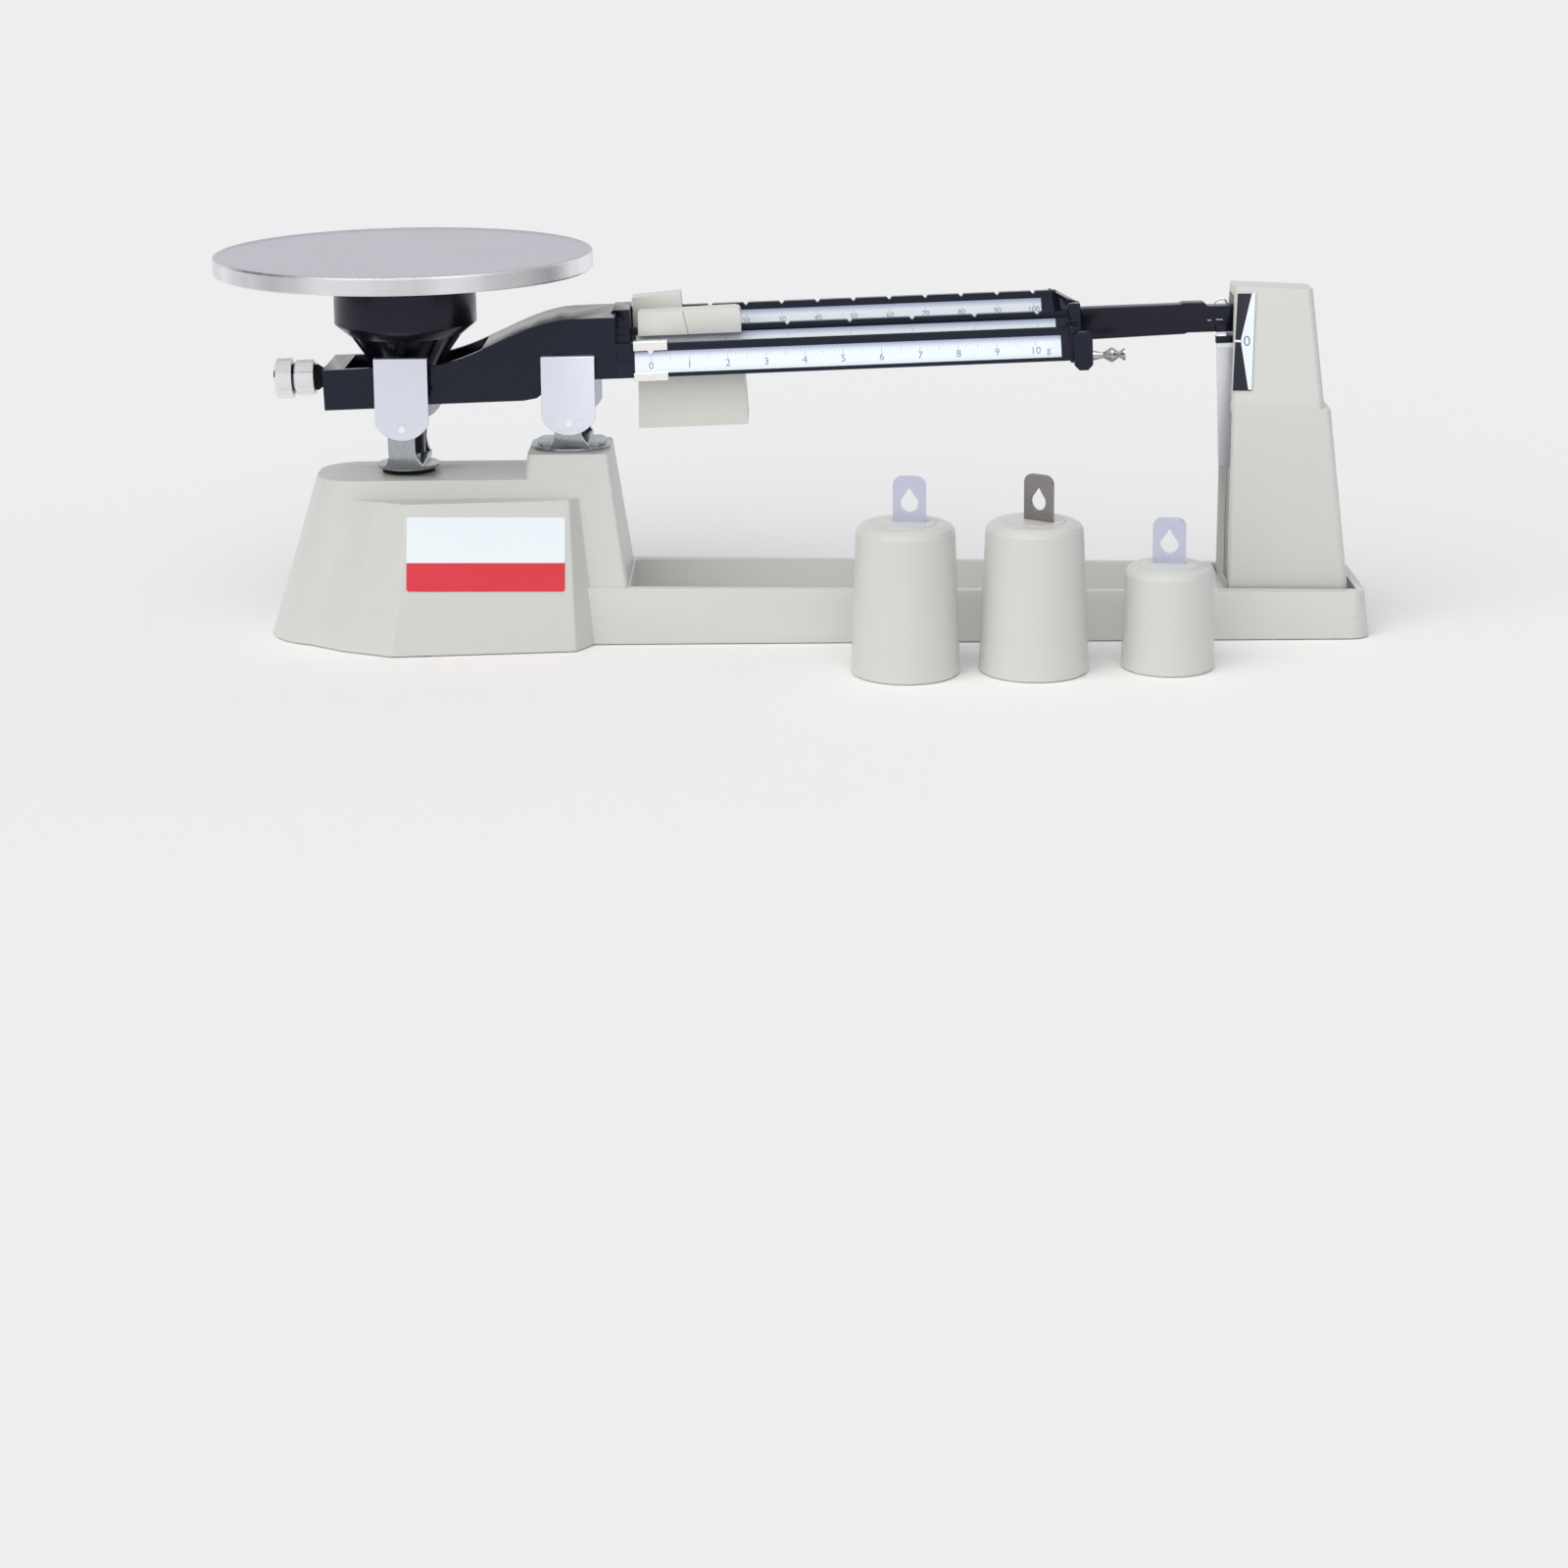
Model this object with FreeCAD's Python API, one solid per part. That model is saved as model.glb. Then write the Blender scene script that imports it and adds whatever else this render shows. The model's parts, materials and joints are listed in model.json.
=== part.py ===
"""Triple beam balance with a round pan, three poises and three hanging weights.

Millimetres, +Z up. The origin lies on the table, straight under the fulcrum.
+X runs from the pan to the pointer tower, and the scales face -Y.
The beam is drawn level and then turned about its fulcrum knife by BEAM_RISE.
"""
import FreeCAD, Part
import math
import os

from FreeCAD import Vector

# Driving dimensions of the mechanism
KNIFE_Z = 108.0
BEAM_RISE = 1.85
PAN_ARM = 67.0
LINK_PIN_Z = 20.0
BEAM_HALF = 19.2
RAIL_THICK = 2.8
BAR_PITCH_Y = 16.0

# Driving dimensions of the base
FOOT_HEIGHT = 0.5
BASE_LEFT = -124.0
BASE_RIGHT = 322.4
BASE_FRONT = -31.0
TAIL_FRONT = -32.6
BASE_REAR = 29.0
PLATEAU_Z = 66.0
PEDESTAL_Z = 76.0
RAIL_TOP_LEFT = 22.9
RAIL_TOP_FALL = 0.0137
WALL = 3.0

# Driving dimensions of the pan and its carrier
TRAY_RADIUS = 76.2
TRAY_TOP = 156.3
TRAY_DEPTH = 7.3
TRAY_SHEET = 1.0
HEAD_RADIUS = 28.7
HEAD_TOP = 154.75
HEAD_BOTTOM = 126.7

# Driving dimensions of the tower
TOWER_LEFT = 266.6
TOWER_FLOOR = 13.0
TIER_Z = 93.0
TOWER_TOP = 140.5

# Scales, in the level frame of the beam
FRONT_ZERO = 33.9
FRONT_PITCH = 15.38
FRONT_DIVISIONS = 10
MIDDLE_ZERO = 63.55
MIDDLE_PITCH = 25.27
MIDDLE_NOTCHES = 6
REAR_ZERO = 42.65
REAR_PITCH = 14.69
REAR_NOTCHES = 11
BAR_START = 20.0

# Hanging weights: place, bottom radius, top radius, height, turn and shift of the strap
WEIGHTS = {
    "weight_left": (133.4, -76.3, 21.2, 19.3, 59.4, -10.0, 1.6),
    "weight_centre": (183.4, -74.3, 21.4, 19.0, 59.4, -37.0, 1.9),
    "weight_right": (235.9, -71.0, 18.2, 16.9, 41.0, -10.0, 0.0),
}
WEIGHT_WALL = {"weight_left": 4.85, "weight_centre": 4.85, "weight_right": 3.35}
CAP_RADIUS = 12.0

# Fits
RUNNING = 0.05
GAP = 0.4

os.makedirs("parts", exist_ok=True)


def box(x0, x1, y0, y1, z0, z1):
    return Part.makeBox(x1 - x0, y1 - y0, z1 - z0, Vector(x0, y0, z0))


def rod(radius, start, end):
    a = Vector(*start)
    along = Vector(*end) - a
    return Part.makeCylinder(radius, along.Length, a, along)


def frustum(radius_a, radius_b, start, end):
    a = Vector(*start)
    along = Vector(*end) - a
    return Part.makeCone(radius_a, radius_b, along.Length, a, along)


def prism_y(points, y0, y1):
    """Outline in X and Z, run from y0 to y1."""
    wire = Part.makePolygon([Vector(x, y0, z) for x, z in points + points[:1]])
    return Part.Face(wire).extrude(Vector(0, y1 - y0, 0))


def prism_x(points, x0, x1):
    """Outline in Y and Z, run from x0 to x1."""
    wire = Part.makePolygon([Vector(x0, y, z) for y, z in points + points[:1]])
    return Part.Face(wire).extrude(Vector(x1 - x0, 0, 0))


def revolve(points, x, y):
    """Outline in radius and Z, turned about the upright line through x, y."""
    wire = Part.makePolygon([Vector(x + r, y, z) for r, z in points + points[:1]])
    return Part.Face(wire).revolve(Vector(x, y, 0), Vector(0, 0, 1), 360)


def fuse(*shapes):
    return shapes[0].multiFuse(list(shapes[1:])).removeSplitter()


def mirror_y(shape):
    return shape.mirror(Vector(0, 0, 0), Vector(0, 1, 0))


def rounded_outline(corners, height):
    """Closed wire through corners (x, y, radius), at height(x)."""
    count = len(corners)
    starts, mids, ends = [], [], []
    for i in range(count):
        px, py, radius = corners[i]
        here = Vector(px, py, 0)
        before = Vector(corners[i - 1][0], corners[i - 1][1], 0) - here
        after = Vector(corners[(i + 1) % count][0], corners[(i + 1) % count][1], 0) - here
        half = before.getAngle(after) / 2
        reach = radius / math.tan(half)
        middle = (before.normalize() + after.normalize()).normalize()
        starts.append(here + before * reach)
        ends.append(here + after * reach)
        mids.append(here + middle * (radius / math.sin(half) - radius))
    for point in starts + mids + ends:
        point.z = height(point.x)
    edges = []
    for i in range(count):
        if corners[i][2] > 0:
            edges.append(Part.Arc(starts[i], mids[i], ends[i]).toShape())
        edges.append(Part.LineSegment(ends[i], starts[(i + 1) % count]).toShape())
    return Part.Wire(edges)


def inset(corners, distance):
    """Counter-clockwise corners moved inwards by a wall's thickness."""
    moved = []
    count = len(corners)
    for i in range(count):
        x0, y0, _ = corners[i - 1]
        x1, y1, radius = corners[i]
        x2, y2, _ = corners[(i + 1) % count]
        ax, ay = x1 - x0, y1 - y0
        bx, by = x2 - x1, y2 - y1
        la, lb = math.hypot(ax, ay), math.hypot(bx, by)
        na = (-ay / la, ax / la)
        nb = (-by / lb, bx / lb)
        scale = distance / (1 + na[0] * nb[0] + na[1] * nb[1])
        x = x1 + (na[0] + nb[0]) * scale
        y = y1 + (na[1] + nb[1]) * scale
        moved.append((x, y, max(radius - distance, 0.5) if radius else 0))
    return moved


def loft(low_corners, low_height, high_corners, high_height):
    wires = [rounded_outline(low_corners, low_height), rounded_outline(high_corners, high_height)]
    return Part.makeLoft(wires, True, True)


def level(z):
    return lambda x: z


def rect(x0, x1, y0, y1, left_radius, right_radius):
    return [(x0, y0, left_radius), (x1, y0, right_radius),
            (x1, y1, right_radius), (x0, y1, left_radius)]


def tilt_beam(shape):
    """Turn a level piece of the beam to where it stands at the zero mark."""
    turned = shape.copy()
    turned.rotate(Vector(0, 0, KNIFE_Z), Vector(0, 1, 0), -BEAM_RISE)
    return turned


def save(node, shape):
    shape.exportStep("parts/" + node + ".step")


def save_beam(node, shape):
    save(node, tilt_beam(shape))


def group(shapes):
    return Part.makeCompound(shapes)


RISE = math.radians(BEAM_RISE)
PAN_X = -PAN_ARM * math.cos(RISE)
PAN_Z = KNIFE_Z - PAN_ARM * math.sin(RISE)
LINK_END_Z = LINK_PIN_Z - PAN_ARM * math.sin(RISE)


# Base casting

def rail_top(x):
    return RAIL_TOP_LEFT - (x - 5.0) * RAIL_TOP_FALL


HOUSE_LOW = rect(BASE_LEFT, 20.0, BASE_FRONT, BASE_REAR, 27.0, 2.0)
HOUSE_HIGH = rect(-103.5, 8.0, -21.5, 18.8, 16.0, 2.0)
PEDESTAL_LOW = [(-28.0, BASE_FRONT, 3.0), (26.5, BASE_FRONT, 2.0),
                (26.5, BASE_REAR, 6.0), (-28.0, BASE_REAR, 8.0)]
PEDESTAL_HIGH = [(-16.8, -20.04, 3.0), (16.0, -20.04, 2.0), (16.0, 18.0, 6.0), (-16.8, 18.0, 8.0)]
BULGE_TOP = 58.8
BULGE_LOW = [(-115.0, -22.6, 0), (-90.7, -40.4, 14.0), (-69.8, -50.1, 3.0), (3.1, -43.4, 1.5),
             (10.1, -31.8, 0), (10.1, -10.0, 0), (-115.0, -10.0, 0)]
BULGE_HIGH = [(-87.5, -22.6, 0), (-77.0, -28.4, 8.0), (-64.0, -34.0, 3.0), (0.2, -28.1, 1.5),
              (3.8, -22.4, 0), (3.8, -10.0, 0), (-87.5, -10.0, 0)]
TROUGH_LEFT = 24.0
TROUGH_RIGHT = 259.0
TROUGH_FLOOR = 6.0
SOCKET = (264.3, 317.4, -22.6, 21.6)
STEM_HOLE_RADIUS = 9.0
SCREW_X = 10.0
TOWER_SCREWS_X = (273.0, 308.0)


def base_casting():
    house = loft(HOUSE_LOW, level(FOOT_HEIGHT), HOUSE_HIGH, level(PLATEAU_Z))
    pedestal = loft(PEDESTAL_LOW, level(FOOT_HEIGHT), PEDESTAL_HIGH, level(PEDESTAL_Z))
    bulge = loft(BULGE_LOW, level(FOOT_HEIGHT), BULGE_HIGH, level(BULGE_TOP))
    tail_low = [(5, TAIL_FRONT, 0), (BASE_RIGHT, TAIL_FRONT, 8), (BASE_RIGHT, 26.0, 8), (5, BASE_REAR, 0)]
    tail_high = [(5, -29.0, 0), (BASE_RIGHT - 1.6, -29.0, 7), (BASE_RIGHT - 1.6, 24.2, 7), (5, 27.6, 0)]
    tail = loft(tail_low, level(FOOT_HEIGHT), tail_high, rail_top)
    body = fuse(house, pedestal, bulge, tail)

    # The casting is an open-bottomed shell, and its rooms join inside
    cavity_low = 0.0
    house_room = loft(inset(HOUSE_LOW, WALL), level(cavity_low),
                      inset(HOUSE_HIGH, WALL), level(PLATEAU_Z - WALL))
    pedestal_room = loft(inset(PEDESTAL_LOW, WALL), level(cavity_low),
                         inset(PEDESTAL_HIGH, WALL), level(PEDESTAL_Z - WALL))
    bulge_room = loft(inset(BULGE_LOW, WALL), level(cavity_low),
                      inset(BULGE_HIGH, WALL), level(BULGE_TOP - WALL))
    body = body.cut(house_room.multiFuse([pedestal_room, bulge_room]))
    trough_low = rect(TROUGH_LEFT, TROUGH_RIGHT, -25.0, 21.0, 3.0, 3.0)
    trough_high = rect(TROUGH_LEFT, TROUGH_RIGHT, -25.6, 22.6, 3.0, 3.0)
    body = body.cut(loft(trough_low, level(TROUGH_FLOOR), trough_high, level(30.0)))
    body = body.cut(box(27.0, 316.5, -27.0, 21.0, 0.0, 3.0))
    body = body.cut(box(262.0, 315.0, -25.0, 19.0, 0.0, TOWER_FLOOR - WALL))

    x0, x1, y0, y1 = SOCKET
    body = body.cut(box(x0, x1, y0, y1, TOWER_FLOOR, 30.0))
    holes = [rod(STEM_HOLE_RADIUS, (PAN_X, 0, PLATEAU_Z - 5), (PAN_X, 0, PLATEAU_Z + 1))]
    for x in (-SCREW_X, SCREW_X):
        holes.append(rod(2.1, (x, 0, PEDESTAL_Z - 5), (x, 0, PEDESTAL_Z + 1)))
    for x in TOWER_SCREWS_X:
        holes.append(rod(2.1, (x, 0, TOWER_FLOOR - 6), (x, 0, TOWER_FLOOR + 1)))
    return body.cut(group(holes))


def rubber_feet():
    places = [(-90.0, 26.8), (-60.0, -46.6), (290.0, 23.4), (290.0, -30.0)]
    feet = []
    for x, y in places:
        feet.append(box(x - 5, x + 5, y - 1.2, y + 1.2, 0.0, FOOT_HEIGHT))
    return group(feet)


def dust_ring():
    ring = rod(10.6, (PAN_X, 0, PLATEAU_Z), (PAN_X, 0, PLATEAU_Z + 0.8))
    return ring.cut(rod(8.2, (PAN_X, 0, PLATEAU_Z - 1), (PAN_X, 0, PLATEAU_Z + 2)))


LABEL_WIDTH = 63.0
LABEL_HEIGHT = 29.6
LABEL_THICK = 0.3
LABEL_TOP_Z = 53.1
LABEL_CENTRE_SHARE = 0.49
LABEL_TURN = math.radians(1.6)


def bulge_face_frame():
    """Corner, run, climb and outward direction of the sloping name panel."""
    low_left = Vector(BULGE_LOW[2][0], BULGE_LOW[2][1], FOOT_HEIGHT)
    low_right = Vector(BULGE_LOW[3][0], BULGE_LOW[3][1], FOOT_HEIGHT)
    high_left = Vector(BULGE_HIGH[2][0], BULGE_HIGH[2][1], BULGE_TOP)
    high_right = Vector(BULGE_HIGH[3][0], BULGE_HIGH[3][1], BULGE_TOP)
    share = (LABEL_TOP_Z - FOOT_HEIGHT) / (BULGE_TOP - FOOT_HEIGHT)
    left = low_left + (high_left - low_left) * share
    right = low_right + (high_right - low_right) * share
    run = (right - left).normalize()
    centre = left + (right - left) * LABEL_CENTRE_SHARE
    foot = low_left + (low_right - low_left) * LABEL_CENTRE_SHARE
    fall = (foot - centre)
    fall = (fall - run * fall.dot(run)).normalize()
    return centre, run, fall, fall.cross(run) * -1.0


def label_plate():
    centre, level_run, level_fall, out = bulge_face_frame()
    run = level_run * math.cos(LABEL_TURN) + level_fall * math.sin(LABEL_TURN)
    fall = level_fall * math.cos(LABEL_TURN) - level_run * math.sin(LABEL_TURN)
    half = LABEL_WIDTH / 2
    corners = [centre - run * half, centre + run * half,
               centre + run * half + fall * LABEL_HEIGHT, centre - run * half + fall * LABEL_HEIGHT]
    if out.y > 0:
        out = out * -1.0
    lift = out * 0.05
    face = Part.Face(Part.makePolygon([c + lift for c in corners + corners[:1]]))
    return face.extrude(out * LABEL_THICK)


# Tower

TOWER_RIGHT_LOW = 315.2
TOWER_RIGHT_TIER = 306.2
UPPER_RIGHT_TIER = 304.2
UPPER_RIGHT_TOP = 299.9
SLOT_HALF = 6.4
SLOT_HIGH = 136.4
SIDE_OPEN_HALF = 16.6


def tier_top(x):
    return TIER_Z + 1.0 - (x - TOWER_LEFT) * 0.055


def tower_top(x):
    return TOWER_TOP - (x - TOWER_LEFT) * 0.053


SHEET = 1.2
HOLDER_X = 291.0
WING_OUTER = 14.4
MAGNET_INNER = 3.2
MAGNET_X = 278.5
MAGNET_Z = 84.0
MAGNET_RADIUS = 6.5
LOWER_LOW = rect(TOWER_LEFT - 0.6, TOWER_RIGHT_LOW, -21.2, 20.4, 1.5, 3.0)
LOWER_HIGH = rect(TOWER_LEFT, TOWER_RIGHT_TIER, -20.2, 19.4, 1.5, 3.0)
UPPER_LOW = rect(TOWER_LEFT, UPPER_RIGHT_TIER, -18.8, 18.8, 1.5, 3.0)
UPPER_HIGH = rect(TOWER_LEFT + 1.6, UPPER_RIGHT_TOP, -8.2, 8.2, 1.5, 3.0)


def tower():
    lower = loft(LOWER_LOW, level(TOWER_FLOOR + 0.1), LOWER_HIGH, tier_top)
    upper = loft(UPPER_LOW, level(TIER_Z - 3), UPPER_HIGH, tower_top)
    body = lower.fuse(upper).removeSplitter()
    lower_room = loft(inset(LOWER_LOW, WALL), level(TOWER_FLOOR - 1),
                      inset(LOWER_HIGH, WALL), level(TIER_Z - 4))
    upper_low = inset(UPPER_LOW, WALL)
    upper_high = inset(UPPER_HIGH, WALL - 0.6)
    upper_room = loft(upper_low, level(TIER_Z - 5), upper_high, level(TOWER_TOP - 4.5))
    body = body.cut(lower_room.fuse(upper_room))
    window = box(TOWER_LEFT - 2, TOWER_LEFT + 6, -SIDE_OPEN_HALF, SIDE_OPEN_HALF, TOWER_FLOOR + 3, 90.0)
    body = body.cut(window)
    throat = [(-13.5, 88.0), (13.5, 88.0), (11.0, 115.0), (7.8, 126.0), (SLOT_HALF, SLOT_HIGH),
              (-SLOT_HALF, SLOT_HIGH), (-7.8, 126.0), (-11.0, 115.0)]
    body = body.cut(prism_x(throat, TOWER_LEFT - 2, TOWER_LEFT + 6))
    lugs = []
    for x in TOWER_SCREWS_X:
        lug = rod(4.2, (x, 0, TOWER_FLOOR + 0.1), (x, 0, TOWER_FLOOR + 9))
        lug = lug.fuse(box(x - 2.2, x + 2.2, 0, 19.4, TOWER_FLOOR + 0.1, TOWER_FLOOR + 9))
        lugs.append(lug.cut(rod(2.1, (x, 0, TOWER_FLOOR - 1), (x, 0, TOWER_FLOOR + 8))))
    boss = box(HOLDER_X, TOWER_RIGHT_TIER - 1.5, -5.0, 5.0, MAGNET_Z - 5, MAGNET_Z + 3)
    return fuse(body, lugs[0], lugs[1], boss)


def screw(x, y, seat_z, reach, head_radius):
    """Screw with its head under seat_z and its shank pointing up."""
    shank = rod(2.05, (x, y, seat_z - 0.5), (x, y, seat_z + reach))
    head = rod(head_radius, (x, y, seat_z - 2.6), (x, y, seat_z))
    cross = box(x - head_radius + 1, x + head_radius - 1, y - 0.4, y + 0.4, seat_z - 3, seat_z - 1.5)
    return head.fuse(shank).removeSplitter().cut(cross)


DIAL = [(269.2, 138.5), (276.4, 138.5), (274.4, 99.6), (266.8, 99.6)]
DIAL_THICK = 0.5
FRONT_LEAN = math.degrees(math.atan2(18.8 - 8.2, TOWER_TOP - (TIER_Z - 3)))


def dial_plate():
    hinge_z = TIER_Z - 3
    plate = prism_y(DIAL, -18.8 - DIAL_THICK - 0.05, -18.8 - 0.05)
    plate.rotate(Vector(0, -18.8, hinge_z), Vector(1, 0, 0), -FRONT_LEAN)
    return plate


def magnet_holder():
    """Folded plated channel that carries the magnets on both sides of the vane."""
    plate = box(HOLDER_X - SHEET, HOLDER_X, -WING_OUTER, WING_OUTER, MAGNET_Z - 9, MAGNET_Z + 5)
    wings = []
    for side in (-1, 1):
        y0, y1 = sorted((side * (WING_OUTER - SHEET), side * WING_OUTER))
        wings.append(box(MAGNET_X - 8, HOLDER_X, y0, y1, MAGNET_Z - 9, MAGNET_Z + 5))
    return fuse(plate, wings[0], wings[1])


def damper_magnets():
    """Steel cups with their magnets, facing each other across the vane."""
    magnets = []
    for side in (-1, 1):
        face = (MAGNET_X, side * MAGNET_INNER, MAGNET_Z - 2)
        cup = rod(MAGNET_RADIUS, face, (MAGNET_X, side * (WING_OUTER - SHEET - 4.0), MAGNET_Z - 2))
        post = rod(MAGNET_RADIUS - 2.5, face, (MAGNET_X, side * (WING_OUTER - SHEET), MAGNET_Z - 2))
        magnets.append(fuse(cup, post))
    return group(magnets)


# Yokes, bearings and their cover plates

ARM_WIDTH = 10.6
ARM_THICK = 2.0
ARM_INNER = 20.6
COVER_WIDTH = 21.5
COVER_INNER = 23.0
COVER_THICK = 0.8
FLANGE_THICK = 1.3
FLARE = 2.6


def yoke_strap(x, bottom_z, top_z):
    """Bent strap: a foot on the flange, two flaring arms, two upright ends."""
    outer = ARM_INNER + ARM_THICK
    outline = [(8.0, bottom_z), (outer - 7.5, bottom_z), (outer - 1.6, bottom_z + 5.5),
               (outer, bottom_z + 10.0),
               (outer, top_z), (ARM_INNER, top_z), (ARM_INNER, bottom_z + 10.6),
               (ARM_INNER - 1.5, bottom_z + 7.0), (ARM_INNER - 6.5, bottom_z + ARM_THICK),
               (8.0, bottom_z + ARM_THICK)]
    half = ARM_WIDTH / 2
    arm = prism_x(outline, x - half - FLARE, x + half + FLARE)
    foot = box(x - half - FLARE, x + half + FLARE, -8.5, 8.5, bottom_z, bottom_z + ARM_THICK)
    flare = [(x + side * reach, bottom_z + rise) for side, steps in (
        (1, ((half + FLARE, -1), (half + FLARE, 1.6), (half + 1.2, 3.2), (half, 6.4), (half, 60.0))),
        (-1, ((half, 60.0), (half, 6.4), (half + 1.2, 3.2), (half + FLARE, 1.6), (half + FLARE, -1))))
        for reach, rise in steps]
    return fuse(foot, arm, mirror_y(arm)).common(prism_y(flare, -30, 30))


def bearing_seat(x, z, half_x, low, high):
    """Windows through both arms for the bearing blocks."""
    return box(x - half_x, x + half_x, -30, 30, z + low, z + high)


def fulcrum_yoke():
    base_z = PEDESTAL_Z + 0.05
    flange = rod(16.4, (0, 0, base_z), (0, 0, base_z + FLANGE_THICK))
    strap = yoke_strap(0.0, base_z + FLANGE_THICK - 0.1, KNIFE_Z + 4.5)
    lugs = []
    for side in (-1, 1):
        disc = rod(14.2, (0, 0, base_z + 0.5), (0, 0, base_z + FLANGE_THICK + 1.3))
        keep = box(min(side * 6.4, side * 20), max(side * 6.4, side * 20), -8.5, 8.5, base_z, base_z + 5)
        lugs.append(disc.common(keep))
    body = fuse(flange, strap, lugs[0], lugs[1])
    body = body.cut(bearing_seat(0.0, KNIFE_Z, 3.5, -4.0, 2.5))
    for x in (-SCREW_X, SCREW_X):
        body = body.cut(rod(2.1, (x, 0, base_z - 1), (x, 0, base_z + 2.0)))
    return body


def vee_block(x, z, side, opens):
    """Bearing block with a wide vee, opening up (1) or down (-1) at the knife line."""
    y0, y1 = sorted((side * ARM_INNER, side * (ARM_INNER + ARM_THICK)))
    low, high = (-4.0, 2.5) if opens > 0 else (-2.5, 4.0)
    block = box(x - 3.5, x + 3.5, y0, y1, z + low, z + high)
    tip = z - opens * 0.03
    mouth = z + opens * 3.0
    vee = prism_y([(x, tip), (x + 3.0, mouth), (x - 3.0, mouth)], y0 - 1, y1 + 1)
    return block.cut(vee)


def knife_pair(x, z, points_down):
    """Two hardened wedges set in the beam's cheeks, edges on one line."""
    sign = 1 if points_down else -1
    outline = [(x, z), (x + 1.3, z + sign * 2.2), (x - 1.3, z + sign * 2.2)]
    knives = []
    for side in (-1, 1):
        y0, y1 = sorted((side * (BEAM_HALF - RAIL_THICK), side * (ARM_INNER + ARM_THICK - 0.2)))
        knives.append(prism_y(outline, y0, y1))
    return group(knives)


def cover_plate(x, bottom_z, top_z, side):
    """Sheet cover with a round foot and a short lip turned in at its top."""
    half = COVER_WIDTH / 2
    y0, y1 = sorted((side * COVER_INNER, side * (COVER_INNER + COVER_THICK)))
    sheet = box(x - half, x + half, y0, y1, bottom_z, top_z)
    foot_radius = 15.0
    foot_centre = bottom_z + foot_radius
    keep = rod(foot_radius, (x, y0 - 1, foot_centre), (x, y1 + 1, foot_centre))
    keep = keep.fuse(box(x - half, x + half, y0 - 1, y1 + 1, foot_centre - 8.0, top_z + 1))
    corners = box(x - half, x + half, y0, y1, bottom_z, foot_centre - 8.0).common(
        rod(half + 1.2, (x, y0 - 1, bottom_z + half + 1.2), (x, y1 + 1, bottom_z + half + 1.2)))
    sheet = sheet.common(keep)
    upper = sheet.common(box(x - half, x + half, y0, y1, foot_centre - 8.0, top_z))
    sheet = upper.fuse(corners).removeSplitter()
    lip_y = sorted((side * 20.2, side * (COVER_INNER + 0.2)))
    lip = box(x - half, x + half, lip_y[0], lip_y[1], top_z - COVER_THICK, top_z)
    return sheet.fuse(lip).removeSplitter()


def cover_pins(x, z):
    """Shouldered rivets that hold each cover just off its yoke arm."""
    pins = []
    for side in (-1, 1):
        head_y = side * (COVER_INNER + COVER_THICK + 0.7)
        shank = rod(0.9, (x, side * ARM_INNER, z), (x, head_y, z))
        shoulder = rod(2.4, (x, side * (ARM_INNER + ARM_THICK), z), (x, side * COVER_INNER, z))
        head = rod(1.45, (x, side * (COVER_INNER + COVER_THICK), z), (x, head_y, z))
        pins.append(fuse(shank, shoulder, head))
    return pins


def pin_holes(x, z):
    return rod(0.95, (x, -30, z), (x, 30, z))


FULCRUM_COVER = (0.5, 84.5, 116.4, 89.2)
PAN_COVER = (PAN_X + 0.7, 82.7, 116.1, 87.5)


# Pan hanger

HANGER_FLANGE_Z = 68.0
STEM_RADIUS = 4.0


def hanger_yoke():
    flange = rod(12.6, (PAN_X, 0, HANGER_FLANGE_Z), (PAN_X, 0, HANGER_FLANGE_Z + FLANGE_THICK))
    strap = yoke_strap(PAN_X, HANGER_FLANGE_Z + FLANGE_THICK - 0.1, PAN_Z + 5.0)
    body = fuse(flange, strap)
    body = body.cut(bearing_seat(PAN_X, PAN_Z, 3.5, -2.5, 4.0))
    return body.cut(rod(STEM_RADIUS - 1.0 + RUNNING, (PAN_X, 0, 60), (PAN_X, 0, 80)))


def hanger_stem():
    """Rod below the flange, forked at its foot for the check link."""
    rod_body = rod(STEM_RADIUS, (PAN_X, 0, 24.0), (PAN_X, 0, HANGER_FLANGE_Z))
    neck = rod(STEM_RADIUS - 1.0, (PAN_X, 0, HANGER_FLANGE_Z - 0.5), (PAN_X, 0, HANGER_FLANGE_Z + 6.0))
    fork = box(PAN_X - 4.5, PAN_X + 4.5, -5.0, 5.0, LINK_END_Z - 4.0, 26.0)
    slot = box(PAN_X - 6, PAN_X + 6, -2.0, 2.0, LINK_END_Z - 5, 25.0 - 1.0)
    body = fuse(rod_body, neck, fork).cut(slot)
    return body.cut(rod(2.0, (PAN_X, -6, LINK_END_Z), (PAN_X, 6, LINK_END_Z)))


def stem_nut():
    outline = [(PAN_X + 5.0 * math.cos(math.radians(60 * k)), 5.0 * math.sin(math.radians(60 * k)))
               for k in range(6)]
    low = HANGER_FLANGE_Z + FLANGE_THICK + ARM_THICK - 0.05
    wire = Part.makePolygon([Vector(x, y, low) for x, y in outline + outline[:1]])
    nut = Part.Face(wire).extrude(Vector(0, 0, 2.6))
    return nut.cut(rod(STEM_RADIUS - 1.0 + RUNNING, (PAN_X, 0, 60), (PAN_X, 0, 90)))


HEAD_X = PAN_X + 0.6


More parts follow.
